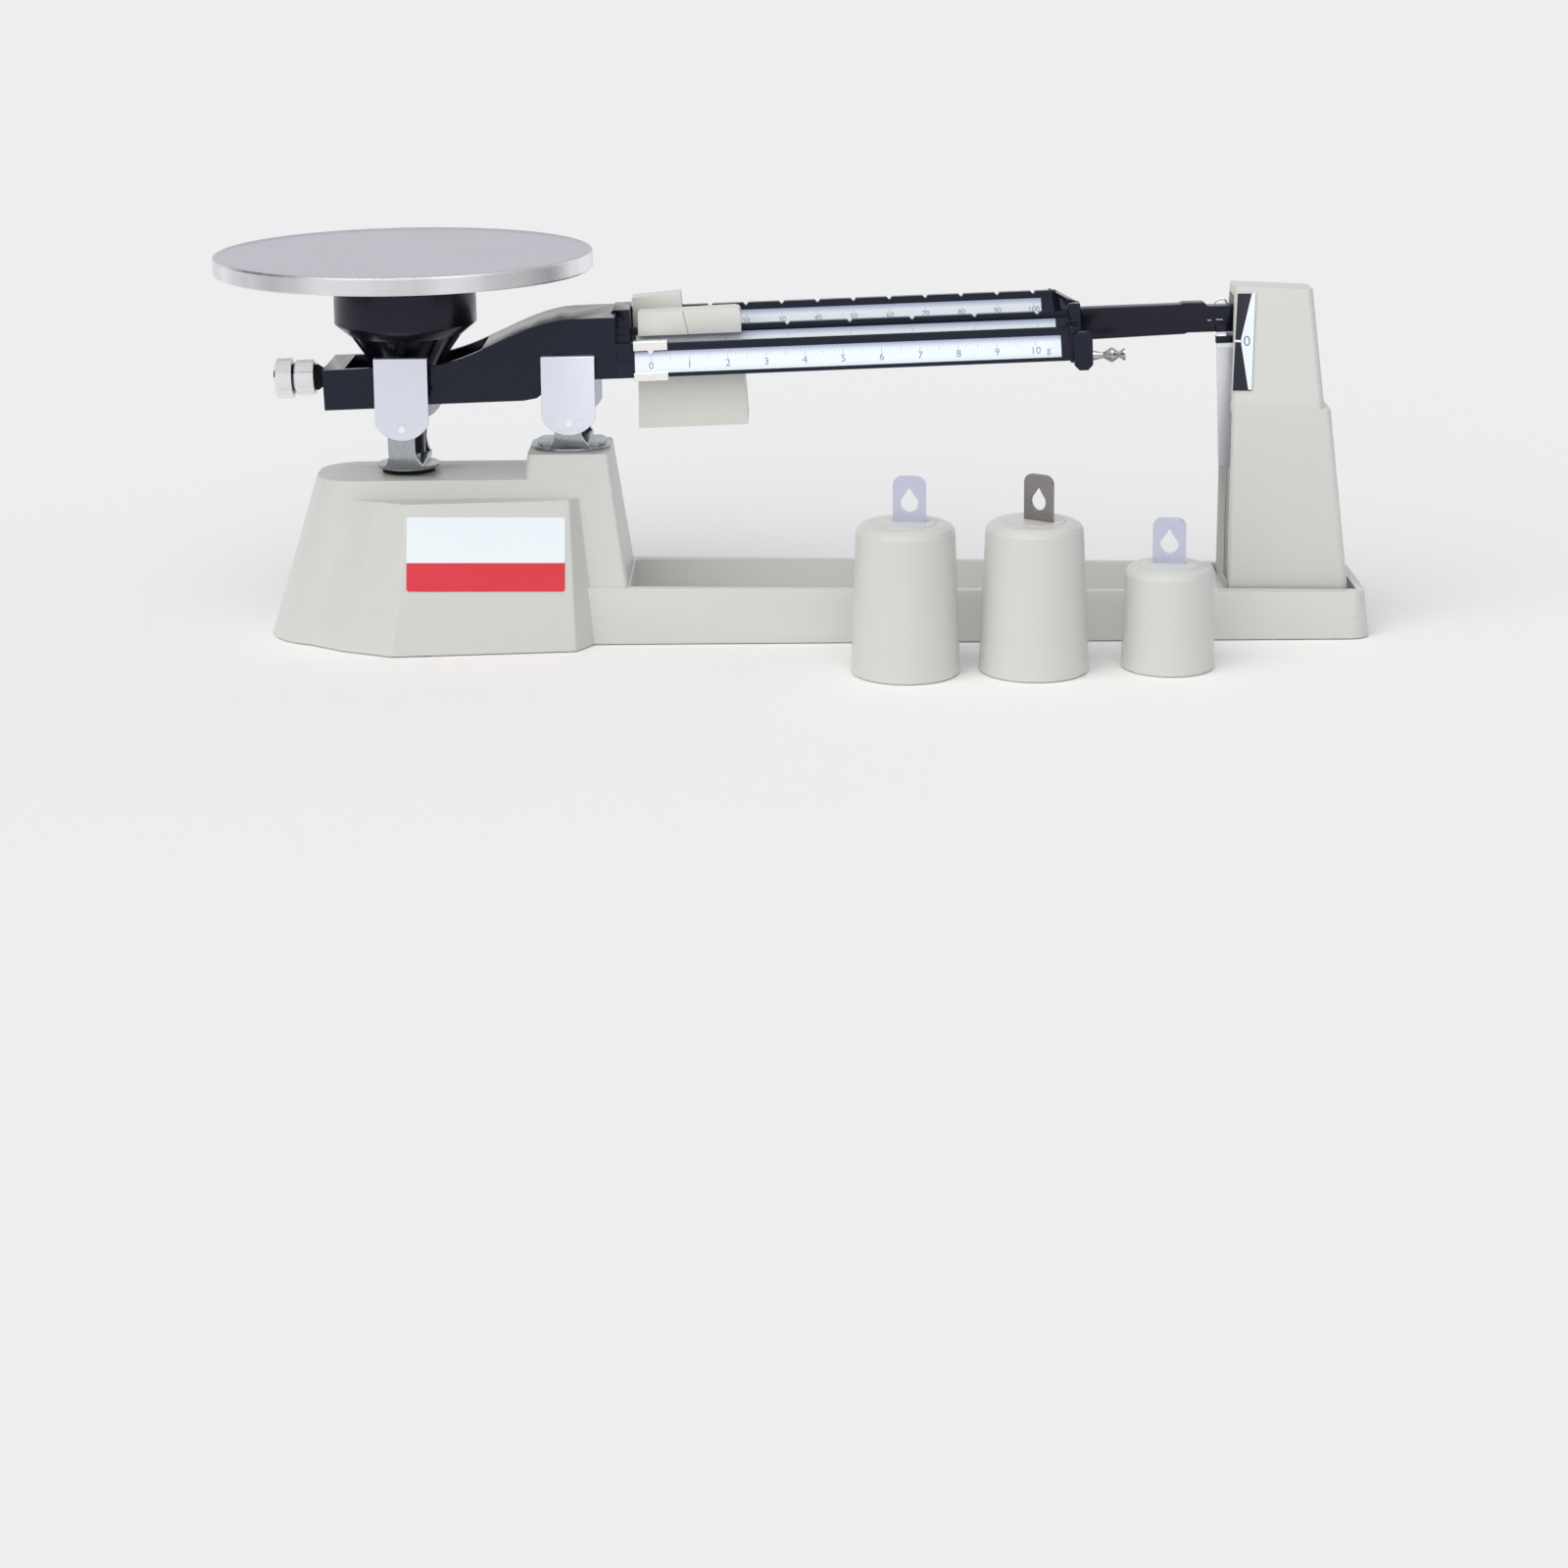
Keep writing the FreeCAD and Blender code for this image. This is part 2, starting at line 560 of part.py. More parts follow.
def pan_support():
    """Moulded head: a drum under the pan, a cone and a ribbed neck down to the yoke."""
    low = HANGER_FLANGE_Z + FLANGE_THICK + ARM_THICK + 2.6
    profile = [(0, low), (6.5, low), (6.5, 100.0), (10.5, 105.0), (13.6, 112.0), (21.0, 122.8),
               (23.0, 122.8), (HEAD_RADIUS - 1.0, HEAD_BOTTOM), (HEAD_RADIUS, HEAD_BOTTOM + 1.0),
               (HEAD_RADIUS, 137.0), (HEAD_RADIUS - 0.8, 148.0), (HEAD_RADIUS - 0.8, HEAD_TOP), (0, HEAD_TOP)]
    body = revolve(profile, HEAD_X, 0)
    rib = prism_y([(HEAD_X - 23.0, 123.2), (HEAD_X + 23.0, 123.2), (HEAD_X + 15.2, 112.0),
                   (HEAD_X + 8.0, 102.0), (HEAD_X - 8.0, 102.0), (HEAD_X - 15.2, 112.0)], -1.6, 1.6)
    diagonal = []
    for angle in (0, 45, 90, 135):
        turned = rib.copy()
        turned.rotate(Vector(HEAD_X, 0, 0), Vector(0, 0, 1), angle)
        diagonal.append(turned)
    body = fuse(body, *diagonal)
    ballast_room = rod(20.0, (HEAD_X, 0, 130.0), (HEAD_X, 0, HEAD_TOP + 1))
    return body.cut(ballast_room).cut(rod(3.0 + RUNNING, (PAN_X, 0, 60), (PAN_X, 0, 76.0)))


BALLAST_TOP = 134.0


def tare_ballast():
    return rod(19.9, (HEAD_X, 0, 130.0), (HEAD_X, 0, BALLAST_TOP))


def link_pin(x, z, half):
    return rod(1.95, (x, -half, z), (x, half, z))


# Check link and its bracket

def link_bracket():
    top = PEDESTAL_Z - WALL
    plates = [box(-6.5, 6.5, -9.0, -7.0, LINK_PIN_Z - 6, top), box(-6.5, 6.5, 7.0, 9.0, LINK_PIN_Z - 6, top)]
    bridge = box(-12.6, 12.6, -9.0, 9.0, top - 2.0, top)
    body = fuse(bridge, plates[0], plates[1])
    for x in (-SCREW_X, SCREW_X):
        body = body.cut(rod(2.1, (x, 0, top - 4), (x, 0, top + 1)))
    return body.cut(rod(2.0, (0, -10, LINK_PIN_Z), (0, 10, LINK_PIN_Z)))


def check_link():
    """Flat bar under the beam, as long as the beam's pan arm, eye at each end."""
    bar = box(-PAN_ARM, 0, -1.5, 1.5, LINK_PIN_Z - 2.5, LINK_PIN_Z + 2.5)
    hub = rod(4.5, (0, -6.5, LINK_PIN_Z), (0, 6.5, LINK_PIN_Z))
    eye = rod(3.8, (-PAN_ARM, -1.5, LINK_PIN_Z), (-PAN_ARM, 1.5, LINK_PIN_Z))
    body = fuse(bar, hub, eye)
    body = body.cut(rod(2.0, (0, -10, LINK_PIN_Z), (0, 10, LINK_PIN_Z)))
    body = body.cut(rod(2.4, (-PAN_ARM, -10, LINK_PIN_Z), (-PAN_ARM, 10, LINK_PIN_Z)))
    body.rotate(Vector(0, 0, LINK_PIN_Z), Vector(0, 1, 0), -BEAM_RISE)
    return body


# Tray

def tray():
    rim_low = TRAY_TOP - TRAY_DEPTH
    floor = TRAY_TOP - 0.5
    inner = TRAY_RADIUS - TRAY_SHEET
    profile = [(0, floor), (inner - 1.6, floor), (inner - 0.6, TRAY_TOP), (TRAY_RADIUS - 0.9, TRAY_TOP),
               (TRAY_RADIUS - 0.25, TRAY_TOP - 0.3), (TRAY_RADIUS, TRAY_TOP - 1.0),
               (TRAY_RADIUS, rim_low + 0.6),
               (TRAY_RADIUS - 0.5, rim_low), (inner - 0.4, rim_low), (inner, rim_low + 0.6),
               (inner, floor - 1.2), (inner - 0.5, floor - TRAY_SHEET), (0, floor - TRAY_SHEET)]
    return revolve(profile, HEAD_X, 0)


def tray_spigot():
    """Pressed cup under the tray that drops into the head."""
    floor = TRAY_TOP - 0.5 - TRAY_SHEET
    cup = rod(19.4, (HEAD_X, 0, floor - 7.0), (HEAD_X, 0, floor))
    return cup.cut(rod(18.4, (HEAD_X, 0, floor - 8.0), (HEAD_X, 0, floor - 1.0)))


# Beam, drawn level

HUMP_TOP = 130.7
BEAM_LEFT = -98.0
BLOCK_RIGHT = 26.2
POST_RIGHT = 25.2
OPENING_LEFT = -89.4
OPENING_RIGHT = -34.0
ROOF = 3.5


def arc_points(x0, z0, x1, z1, steps, lean):
    """Points on a smooth rise between two level runs."""
    points = []
    for k in range(steps + 1):
        t = k / steps
        ease = t * t * (3 - 2 * t)
        rise = ease * (1 - lean) + math.sin(t * math.pi / 2) * lean
        points.append((x0 + (x1 - x0) * t, z0 + (z1 - z0) * rise))
    return points


def beam_casting():
    rise = arc_points(-53.0, 114.0, 2.0, HUMP_TOP, 14, 0.25)
    outline = [(BEAM_LEFT, 97.7), (BEAM_LEFT, 114.0)] + rise
    outline += [(20.0, HUMP_TOP), (20.0, 106.0), (-4.5, 106.0)]
    outline += [(-7.6, 104.4), (-9.6, 101.6), (-12.6, 99.3), (-18.0, 98.5), (-58.0, 98.5), (-70.0, 97.7)]
    body = prism_y(outline, -BEAM_HALF, BEAM_HALF)
    inner = BEAM_HALF - RAIL_THICK
    opening = box(OPENING_LEFT, OPENING_RIGHT, -inner, inner, 90.0, 135.0)
    vault = [(OPENING_RIGHT - 1, 90.0), (OPENING_RIGHT - 1, 119.0 - ROOF)]
    vault += [(x, z - ROOF) for x, z in rise if x > OPENING_RIGHT] + [(11.0, HUMP_TOP - ROOF), (11.0, 90.0)]
    body = body.cut(opening).cut(prism_y(vault, -inner, inner))
    block = box(11.0, BLOCK_RIGHT, -BEAM_HALF, BEAM_HALF, 106.0, 119.8)
    block = block.cut(box(14.6, 20.8, -BEAM_HALF - 1, -BEAM_HALF + 1.6, 107.2, 117.4))
    post = box(18.4, POST_RIGHT, -8.0, BEAM_HALF, 106.0, 131.2)
    ledge = box(18.4, POST_RIGHT, -12.5, -8.0, 106.0, 122.0)
    body = fuse(body, block, post, ledge)
    notch = box(18.0, POST_RIGHT + 1, -9.0, -3.0, 124.6, 132.0)
    body = body.cut(notch)
    boss = rod(4.4, (BEAM_LEFT, 0, STUD_Z), (BEAM_LEFT - 1.6, 0, STUD_Z))
    body = body.fuse(boss).removeSplitter()
    seats = [rod(STUD_RADIUS, (BEAM_LEFT - 5, 0, STUD_Z), (BEAM_LEFT + 6, 0, STUD_Z))]
    for name in BARS:
        y, top, end = BARS[name]
        seats.append(bar(y, top, end))
    seats.append(knife_pair(0.0, KNIFE_Z, True))
    seats.append(knife_pair(-PAN_ARM, KNIFE_Z, False))
    for seat in seats:
        body = body.cut(seat)
    return body


STUD_Z = 108.3
STUD_RADIUS = 2.4


def zero_stud():
    return rod(STUD_RADIUS, (BEAM_LEFT + 5.5, 0, STUD_Z), (-118.9, 0, STUD_Z))


def friction_cone():
    cone = frustum(3.4, 5.4, (BEAM_LEFT - 1.7, 0, STUD_Z), (-102.8, 0, STUD_Z))
    return cone.cut(rod(STUD_RADIUS, (BEAM_LEFT, 0, STUD_Z), (-104.0, 0, STUD_Z)))


def knurled(radius, x0, x1, teeth, depth):
    """Drum with straight grooves along it."""
    body = rod(radius, (x0, 0, STUD_Z), (x1, 0, STUD_Z))
    cutters = []
    for k in range(teeth):
        angle = 2 * math.pi * k / teeth
        y = (radius + depth * 0.35) * math.cos(angle)
        z = STUD_Z + (radius + depth * 0.35) * math.sin(angle)
        cutters.append(rod(depth, (x0 + 0.8, y, z), (x1 - 0.8, y, z)))
    if cutters:
        body = body.cut(group(cutters))
    return body.cut(rod(STUD_RADIUS + RUNNING, (x0 - 1, 0, STUD_Z), (x1 + 1, 0, STUD_Z)))


def balance_nut():
    return knurled(7.15, -111.75, -103.1, 0, 0.0)


def lock_nut():
    return knurled(8.05, -119.7, -111.85, 30, 0.5)


# Notched bars and their scales, drawn level

BARS = {
    "front": (-BAR_PITCH_Y, 119.1, 201.6),
    "middle": (0.0, 123.4, 202.6),
    "rear": (BAR_PITCH_Y, 129.6, 199.0),
}
BAR_HEIGHT = 12.9
RIB_HALF = 1.5
BAND = 2.7
FACE_REACH = 3.0
FOOT = 1.5


def bar(y, top, end):
    low = top - BAR_HEIGHT
    outline = [(y + RIB_HALF, low), (y + RIB_HALF, top), (y - RIB_HALF, top), (y - RIB_HALF, top - BAND),
               (y - RIB_HALF - FACE_REACH, low + FOOT), (y - RIB_HALF - FACE_REACH, low)]
    return prism_x(outline, BAR_START, end)


def notched_bar(name, zero=0.0, pitch=0.0, count=0):
    y, top, end = BARS[name]
    body = bar(y, top, end)
    for k in range(count):
        x = zero + pitch * k
        vee = [(x - 1.5, top + 0.5), (x, top - 1.3), (x + 1.5, top + 0.5)]
        body = body.cut(prism_y(vee, y - 4, y + 4))
    return body


STRIP_THICK = 0.3
STRIP_START = 27.4
STRIP_END = {"front": 197.9, "middle": 197.2, "rear": 192.7}


def scale_strip(name):
    """Printed strip that lies on the sloping face of a bar."""
    y, top, _ = BARS[name]
    low = top - BAR_HEIGHT
    head = Vector(0, y - RIB_HALF, top - BAND)
    foot = Vector(0, y - RIB_HALF - FACE_REACH, low + FOOT)
    fall = (foot - head)
    length = fall.Length
    fall.normalize()
    out = Vector(0, fall.z, -fall.y)
    a = head + fall * (length * 0.03) + out * 0.01
    b = head + fall * (length * 0.985) + out * 0.01
    corners = [a, b, b + out * STRIP_THICK, a + out * STRIP_THICK]
    return prism_x([(c.y, c.z) for c in corners], STRIP_START, STRIP_END[name])


# Right end of the beam, drawn level

STUD_Y = -22.6
HANG_Z = 108.2


def end_frame():
    cross = box(201.6, 205.4, -BEAM_HALF - 1.0, 4.0, 105.3, 119.4)
    post = box(202.6, 207.2, -4.0, 4.0, 105.3, 126.6)
    wall = Part.Face(Part.makePolygon([Vector(x, y, 113.0) for x, y in (
        (202.6, 0.0), (206.6, 2.4), (199.6, 19.2), (196.2, 19.2), (196.2, 17.9), (202.6, 0.0))]))
    wall = wall.extrude(Vector(0, 0, 17.2))
    slope = prism_y([(190.0, 131.0), (196.2, 130.0), (207.0, 126.4), (215.0, 126.0), (215.0, 140.0),
                     (190.0, 140.0)], -30, 30)
    wall = wall.cut(slope)
    body = fuse(cross, post, wall)
    for name in BARS:
        y, top, end = BARS[name]
        body = body.cut(bar(y, top, end))
    return body


def hanger_block():
    outline = [(202.6, 116.8), (204.2, 118.4), (208.6, 118.4), (210.0, 117.0), (210.0, 105.0), (208.0, 102.9),
               (204.6, 102.9), (202.6, 105.0)]
    block = prism_y(outline, STUD_Y - 3.0, -BEAM_HALF - 1.0)
    return block.cut(rod(1.9, (205.0, STUD_Y, HANG_Z), (213.0, STUD_Y, HANG_Z)))


def hanging_stud():
    """Turned stud with two grooves for the weight straps."""
    radii = [(0.0, 205.1), (1.9, 205.1), (1.9, 211.0), (1.1, 214.2), (2.9, 217.4), (2.9, 218.0),
             (1.1, 220.6), (2.4, 222.4), (2.4, 223.0), (0.0, 223.0)]
    points = [Vector(x, STUD_Y + r, HANG_Z) for r, x in radii]
    face = Part.Face(Part.makePolygon(points + points[:1]))
    return face.revolve(Vector(205.0, STUD_Y, HANG_Z), Vector(1, 0, 0), 360)


ARM_HALF = 3.0
VANE_HALF = 0.5


def pointer_arm():
    outline = [(207.2, 111.4), (249.4, 112.2), (250.2, 112.7), (276.0, 112.5), (276.0, 123.2), (258.6, 123.3),
               (257.2, 124.9), (248.6, 125.0), (247.6, 124.4), (207.2, 124.4)]
    arm = prism_y(outline, -ARM_HALF, ARM_HALF)
    return arm.cut(box(261.9, 277.0, -VANE_HALF, VANE_HALF, 110.0, 117.0))


def pointer():
    """Index blade on the arm's tip, seen against the dial."""
    blade = box(261.4, 268.9, -ARM_HALF - 2.8, -ARM_HALF, 108.4, 111.2)
    post = box(261.8, 266.0, -ARM_HALF - 0.8, -ARM_HALF, 111.1, 115.0)
    return blade.fuse(post).removeSplitter()


def damper_vane():
    outline = [(262.2, 108.0), (262.2, 117.0), (275.5, 117.0), (275.5, 96.0), (286.0, 94.0), (286.0, 66.0),
               (276.0, 56.5), (262.2, 56.5)]
    return prism_y(outline, -VANE_HALF, VANE_HALF)


def wire_loop():
    """Bent wire clip that hoops over the arm's tip."""
    ring = Part.makeTorus(2.6, 0.4, Vector(264.3, 0, 123.0), Vector(0, 1, 0))
    return ring.common(box(250, 270, -3, 3, 122.0, 130)).cut(pointer_arm())


# Poises, drawn level

CLIP_SHEET = 0.9
POISE_LOW = 83.4
POISE_REAR = 4.4
POISE_FOOT_REAR = 18.6
POISE_PLATE_LOW = 121.1
POISE_FOOT_TOP = 112.0
REAR_MASS_Y = 25.4
REAR_MASS_LOW = 88.0


def front_poise():
    """Bright sliding clip around the front bar, open where the scale is read."""
    y, top, _ = BARS["front"]
    low = top - BAR_HEIGHT
    face = y - RIB_HALF - FACE_REACH
    x0, x1 = 26.9, 40.6
    shell = prism_x([(y + RIB_HALF + GAP + CLIP_SHEET, low - GAP - CLIP_SHEET),
                     (y + RIB_HALF + GAP + CLIP_SHEET, top + GAP + CLIP_SHEET),
                     (y - RIB_HALF - GAP - CLIP_SHEET, top + GAP + CLIP_SHEET),
                     (y - RIB_HALF - GAP - CLIP_SHEET, top - 2.4), (y - RIB_HALF - GAP, top - 2.4),
                     (y - RIB_HALF - GAP, top + GAP), (y + RIB_HALF + GAP, top + GAP),
                     (y + RIB_HALF + GAP, low - GAP), (face - GAP, low - GAP), (face - GAP, low + 2.0),
                     (face - GAP - CLIP_SHEET, low + 2.0), (face - GAP - CLIP_SHEET, low - GAP - CLIP_SHEET)],
                    x0, x1)
    front = y - RIB_HALF - GAP - CLIP_SHEET
    mark = prism_y([(FRONT_ZERO - 1.2, top - 2.2), (FRONT_ZERO + 1.2, top - 2.2),
                    (FRONT_ZERO + 1.2, top - 3.0), (FRONT_ZERO, top - 4.4), (FRONT_ZERO - 1.2, top - 3.0)],
                   front, front + CLIP_SHEET / 2)
    return fuse(shell, mark)


def middle_poise():
    """Large casting that hangs around the middle bar."""
    y, top, _ = BARS["middle"]
    low = top - BAR_HEIGHT
    outline = [(28.9, 130.2), (68.0, 130.8), (69.6, 130.3), (70.2, 129.0), (70.2, POISE_PLATE_LOW),
               (71.4, POISE_LOW), (27.1, POISE_LOW)]
    body = prism_y(outline, -8.6, POISE_REAR)
    foot = prism_y([(27.9, POISE_FOOT_TOP), (70.4, POISE_FOOT_TOP), (71.4, POISE_LOW), (27.1, POISE_LOW)],
                   0.0, POISE_FOOT_REAR)
    body = fuse(body, foot)
    slot = prism_x([(y + RIB_HALF + GAP, low - GAP), (y + RIB_HALF + GAP, top + GAP),
                    (y - RIB_HALF - GAP, top + GAP), (y - RIB_HALF - GAP, top - BAND + GAP),
                    (y - RIB_HALF - FACE_REACH - GAP, low + FOOT + GAP),
                    (y - RIB_HALF - FACE_REACH - GAP, low - GAP)], 20.0, 80.0)
    window = box(20.0, 80.0, -9.0, y - RIB_HALF - GAP, low - GAP, POISE_PLATE_LOW)
    relief = box(34.0, 64.0, -5.4, POISE_REAR - 1.6, top - 1.0, 128.6)
    step = prism_y([(46.8, 131.5), (48.8, POISE_PLATE_LOW - 0.5), (80.0, POISE_PLATE_LOW - 0.5), (80.0, 131.5)],
                   -9.0, -8.3)
    return body.cut(slot).cut(window).cut(relief).cut(step)


def rear_poise():
    """Saddle that straddles the rear bar."""
    y, top, _ = BARS["rear"]
    x0, x1 = 25.9, 45.9
    low = 120.4
    saddle = prism_y([(x0, low), (x0, top + 4.6), (x1 - 0.2, top + 5.8), (x1 + 0.5, low)],
                     y - RIB_HALF - 5.2, y + RIB_HALF + 2.2)
    behind = box(x0 + 0.8, x1, BEAM_HALF + GAP, REAR_MASS_Y, REAR_MASS_LOW, top - 4.0)
    behind = behind.fuse(box(x0 + 0.8, x1, y + RIB_HALF + GAP, BEAM_HALF + 1.0, low, top - 4.0))
    body = fuse(saddle, behind)
    slot = prism_x([(y + RIB_HALF + GAP, 110.0), (y + RIB_HALF + GAP, top + GAP),
                    (y - RIB_HALF - GAP, top + GAP), (y - RIB_HALF - GAP, top - BAND + 1.0),
                    (y - RIB_HALF - FACE_REACH - GAP, low + 2.0),
                    (y - RIB_HALF - FACE_REACH - GAP, 110.0)], x0 - 1, x1 + 2)
    return body.cut(slot)


# Hanging weights

STRAP_HALF = 6.4
STRAP_RISE = 18.4
STRAP_CORNER = 3.6
EYE_RADIUS = 3.5


def weight_body(x, y, low_radius, high_radius, height, wall):
    """Tapered cup, closed by the cap at its top."""
    profile = [(0, 0), (low_radius - 1.0, 0), (low_radius, 1.0), (high_radius, height - 3.4),
               (high_radius - 0.8, height - 1.5), (high_radius - 2.6, height - 0.4),
               (high_radius - 4.4, height), (CAP_RADIUS, height), (CAP_RADIUS, height - 3.0),
               (high_radius - wall - 1.6, height - 5.0), (high_radius - wall, height - 7.0),
               (low_radius - wall, 5.0), (0, 5.0)]
    return revolve(profile, x, y)


def weight_cap(x, y, height, shift):
    cap = rod(CAP_RADIUS - 0.05, (x, y, height - 3.0), (x, y, height + 0.3))
    return cap.cut(strap_blank(x + shift, y, height))


def strap_blank(x, y, height):
    """Flat strap with rounded shoulders, before its eye is punched."""
    top = height + STRAP_RISE
    plate = box(x - STRAP_HALF, x + STRAP_HALF, y - 0.75, y + 0.75, height - 6.0, top - STRAP_CORNER)
    crown = box(x - STRAP_HALF + STRAP_CORNER, x + STRAP_HALF - STRAP_CORNER, y - 0.75, y + 0.75,
                top - STRAP_CORNER - 1.0, top)
    corners = []
    for side in (-1, 1):
        corner_x = x + side * (STRAP_HALF - STRAP_CORNER)
        corners.append(rod(STRAP_CORNER, (corner_x, y - 0.75, top - STRAP_CORNER),
                           (corner_x, y + 0.75, top - STRAP_CORNER)))
    return fuse(plate, crown, corners[0], corners[1])


def strap(x, y, height):
    """Flat strap with a pear-shaped eye, its point upwards."""
    eye_z = height + 7.8
    eye = rod(EYE_RADIUS, (x, y - 2, eye_z), (x, y + 2, eye_z))
    point = prism_y([(x - 3.3, eye_z + 1.1), (x + 3.3, eye_z + 1.1), (x, eye_z + 6.2)], y - 2, y + 2)
    return strap_blank(x, y, height).cut(eye.fuse(point))


def turned_about(shape, x, y, angle):
    turned = shape.copy()
    turned.rotate(Vector(x, y, 0), Vector(0, 0, 1), angle)
    return turned


def build_base():
    save("base_casting", base_casting())
    save("rubber_feet", rubber_feet())
    save("dust_ring", dust_ring())
    save("name_panel", label_plate())
    save("tower", tower())
    save("tower_screws", group([screw(x, 0, TOWER_FLOOR - WALL, 9.0, 3.6) for x in TOWER_SCREWS_X]))
    save("dial_plate", dial_plate())
    save("magnet_holder", magnet_holder())
    save("damper_magnets", damper_magnets())
    x, low, high, pin = FULCRUM_COVER
    save("fulcrum_yoke", fulcrum_yoke().cut(pin_holes(x, pin)))
    save("fulcrum_bearings", group([vee_block(0.0, KNIFE_Z, side, 1) for side in (-1, 1)]))
    save("fulcrum_cover_front", cover_plate(x, low, high, -1).cut(pin_holes(x, pin)))
    save("fulcrum_cover_rear", cover_plate(x, low, high, 1).cut(pin_holes(x, pin)))
    save("fulcrum_cover_pins", group(cover_pins(x, pin)))
    seat = PEDESTAL_Z - WALL - 2.0
    save("fulcrum_screws", group([screw(s, 0, seat, 6.6, 2.8) for s in (-SCREW_X, SCREW_X)]))
    save("link_bracket", link_bracket())
    save("link_axle", link_pin(0.0, LINK_PIN_Z, 9.6))


def build_hanger():
    x, low, high, pin = PAN_COVER
    save("hanger_yoke", hanger_yoke().cut(pin_holes(x, pin)))
    save("hanger_bearings", group([vee_block(PAN_X, PAN_Z, side, -1) for side in (-1, 1)]))
    save("hanger_cover_front", cover_plate(x, low, high, -1).cut(pin_holes(x, pin)))
    save("hanger_cover_rear", cover_plate(x, low, high, 1).cut(pin_holes(x, pin)))
    save("hanger_cover_pins", group(cover_pins(x, pin)))
    save("hanger_stem", hanger_stem())
    save("stem_nut", stem_nut())
    save("link_pin", link_pin(PAN_X, LINK_END_Z, 5.6))
    save("pan_support", pan_support())
    save("tare_ballast", tare_ballast())
    save("check_link", check_link())
    save("tray", tray())
    save("tray_spigot", tray_spigot())


def build_beam():
    save_beam("beam_casting", beam_casting())
    save_beam("fulcrum_knives", knife_pair(0.0, KNIFE_Z, True))
    save_beam("pan_knives", knife_pair(-PAN_ARM, KNIFE_Z, False))
    save_beam("zero_stud", zero_stud())
    save_beam("friction_cone", friction_cone())
    save_beam("balance_nut", balance_nut())
    save_beam("lock_nut", lock_nut())
    save_beam("front_bar", notched_bar("front"))
    save_beam("middle_bar", notched_bar("middle", MIDDLE_ZERO, MIDDLE_PITCH, MIDDLE_NOTCHES))
    save_beam("rear_bar", notched_bar("rear", REAR_ZERO, REAR_PITCH, REAR_NOTCHES))
    save_beam("scale_strips", group([scale_strip(name) for name in BARS]))
    save_beam("end_frame", end_frame())
    save_beam("hanger_block", hanger_block())
    save_beam("hanging_stud", hanging_stud())
    save_beam("pointer_arm", pointer_arm())
    save_beam("pointer", pointer())
    save_beam("damper_vane", damper_vane())
    save_beam("wire_loop", wire_loop())
    save_beam("front_poise", front_poise())
    save_beam("middle_poise", middle_poise())
    save_beam("rear_poise", rear_poise())


def build_weights():
    for name, (x, y, low_radius, high_radius, height, turn, shift) in WEIGHTS.items():
        save(name, weight_body(x, y, low_radius, high_radius, height, WEIGHT_WALL[name]))
        save(name + "_cap", turned_about(weight_cap(x, y, height, shift), x, y, turn))
        save(name + "_strap", turned_about(strap(x + shift, y, height), x, y, turn))


build_base()
build_hanger()
build_beam()
build_weights()
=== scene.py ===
"""Looks of a triple beam balance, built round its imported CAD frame. Metres, +Z up."""

import json
import math

import bmesh
import bpy
from mathutils import Matrix, Vector

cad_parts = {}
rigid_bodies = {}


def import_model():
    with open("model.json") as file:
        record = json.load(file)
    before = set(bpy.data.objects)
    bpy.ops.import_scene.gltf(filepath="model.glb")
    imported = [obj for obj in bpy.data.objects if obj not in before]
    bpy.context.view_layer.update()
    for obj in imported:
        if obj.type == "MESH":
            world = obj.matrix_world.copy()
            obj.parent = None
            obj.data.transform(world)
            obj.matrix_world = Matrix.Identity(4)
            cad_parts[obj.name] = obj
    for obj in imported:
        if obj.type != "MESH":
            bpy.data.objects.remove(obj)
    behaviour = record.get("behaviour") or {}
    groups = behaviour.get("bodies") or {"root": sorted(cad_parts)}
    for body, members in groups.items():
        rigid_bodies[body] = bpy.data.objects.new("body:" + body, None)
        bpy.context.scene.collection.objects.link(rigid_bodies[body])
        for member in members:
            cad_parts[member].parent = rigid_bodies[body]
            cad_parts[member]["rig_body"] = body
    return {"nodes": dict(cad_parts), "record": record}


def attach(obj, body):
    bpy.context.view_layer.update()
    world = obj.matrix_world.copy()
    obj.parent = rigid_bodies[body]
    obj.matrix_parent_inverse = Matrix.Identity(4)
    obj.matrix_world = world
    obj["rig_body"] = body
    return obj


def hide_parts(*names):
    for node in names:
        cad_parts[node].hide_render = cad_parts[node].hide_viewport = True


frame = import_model()
NODES = frame["nodes"]
SLOT_OF = {s["node"]: s["material_slot"] for s in frame["record"]["subparts"]}
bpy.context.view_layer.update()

MM = 0.001
KNIFE_Z = 0.108
BEAM_RISE = math.radians(1.85)
PAN_CENTRE = (-0.0664, 0.0)

# Places on the scales, along the level beam
FRONT_ZERO = 0.0339
FRONT_GRAM = 0.01538
MIDDLE_ZERO = 0.06355
MIDDLE_STEP = 0.02527
REAR_ZERO = 0.04265
REAR_STEP = 0.01469
BAR_Y = {"front": -0.016, "middle": 0.0, "rear": 0.016}
PRINT_THICK = 0.04 * MM


# Materials

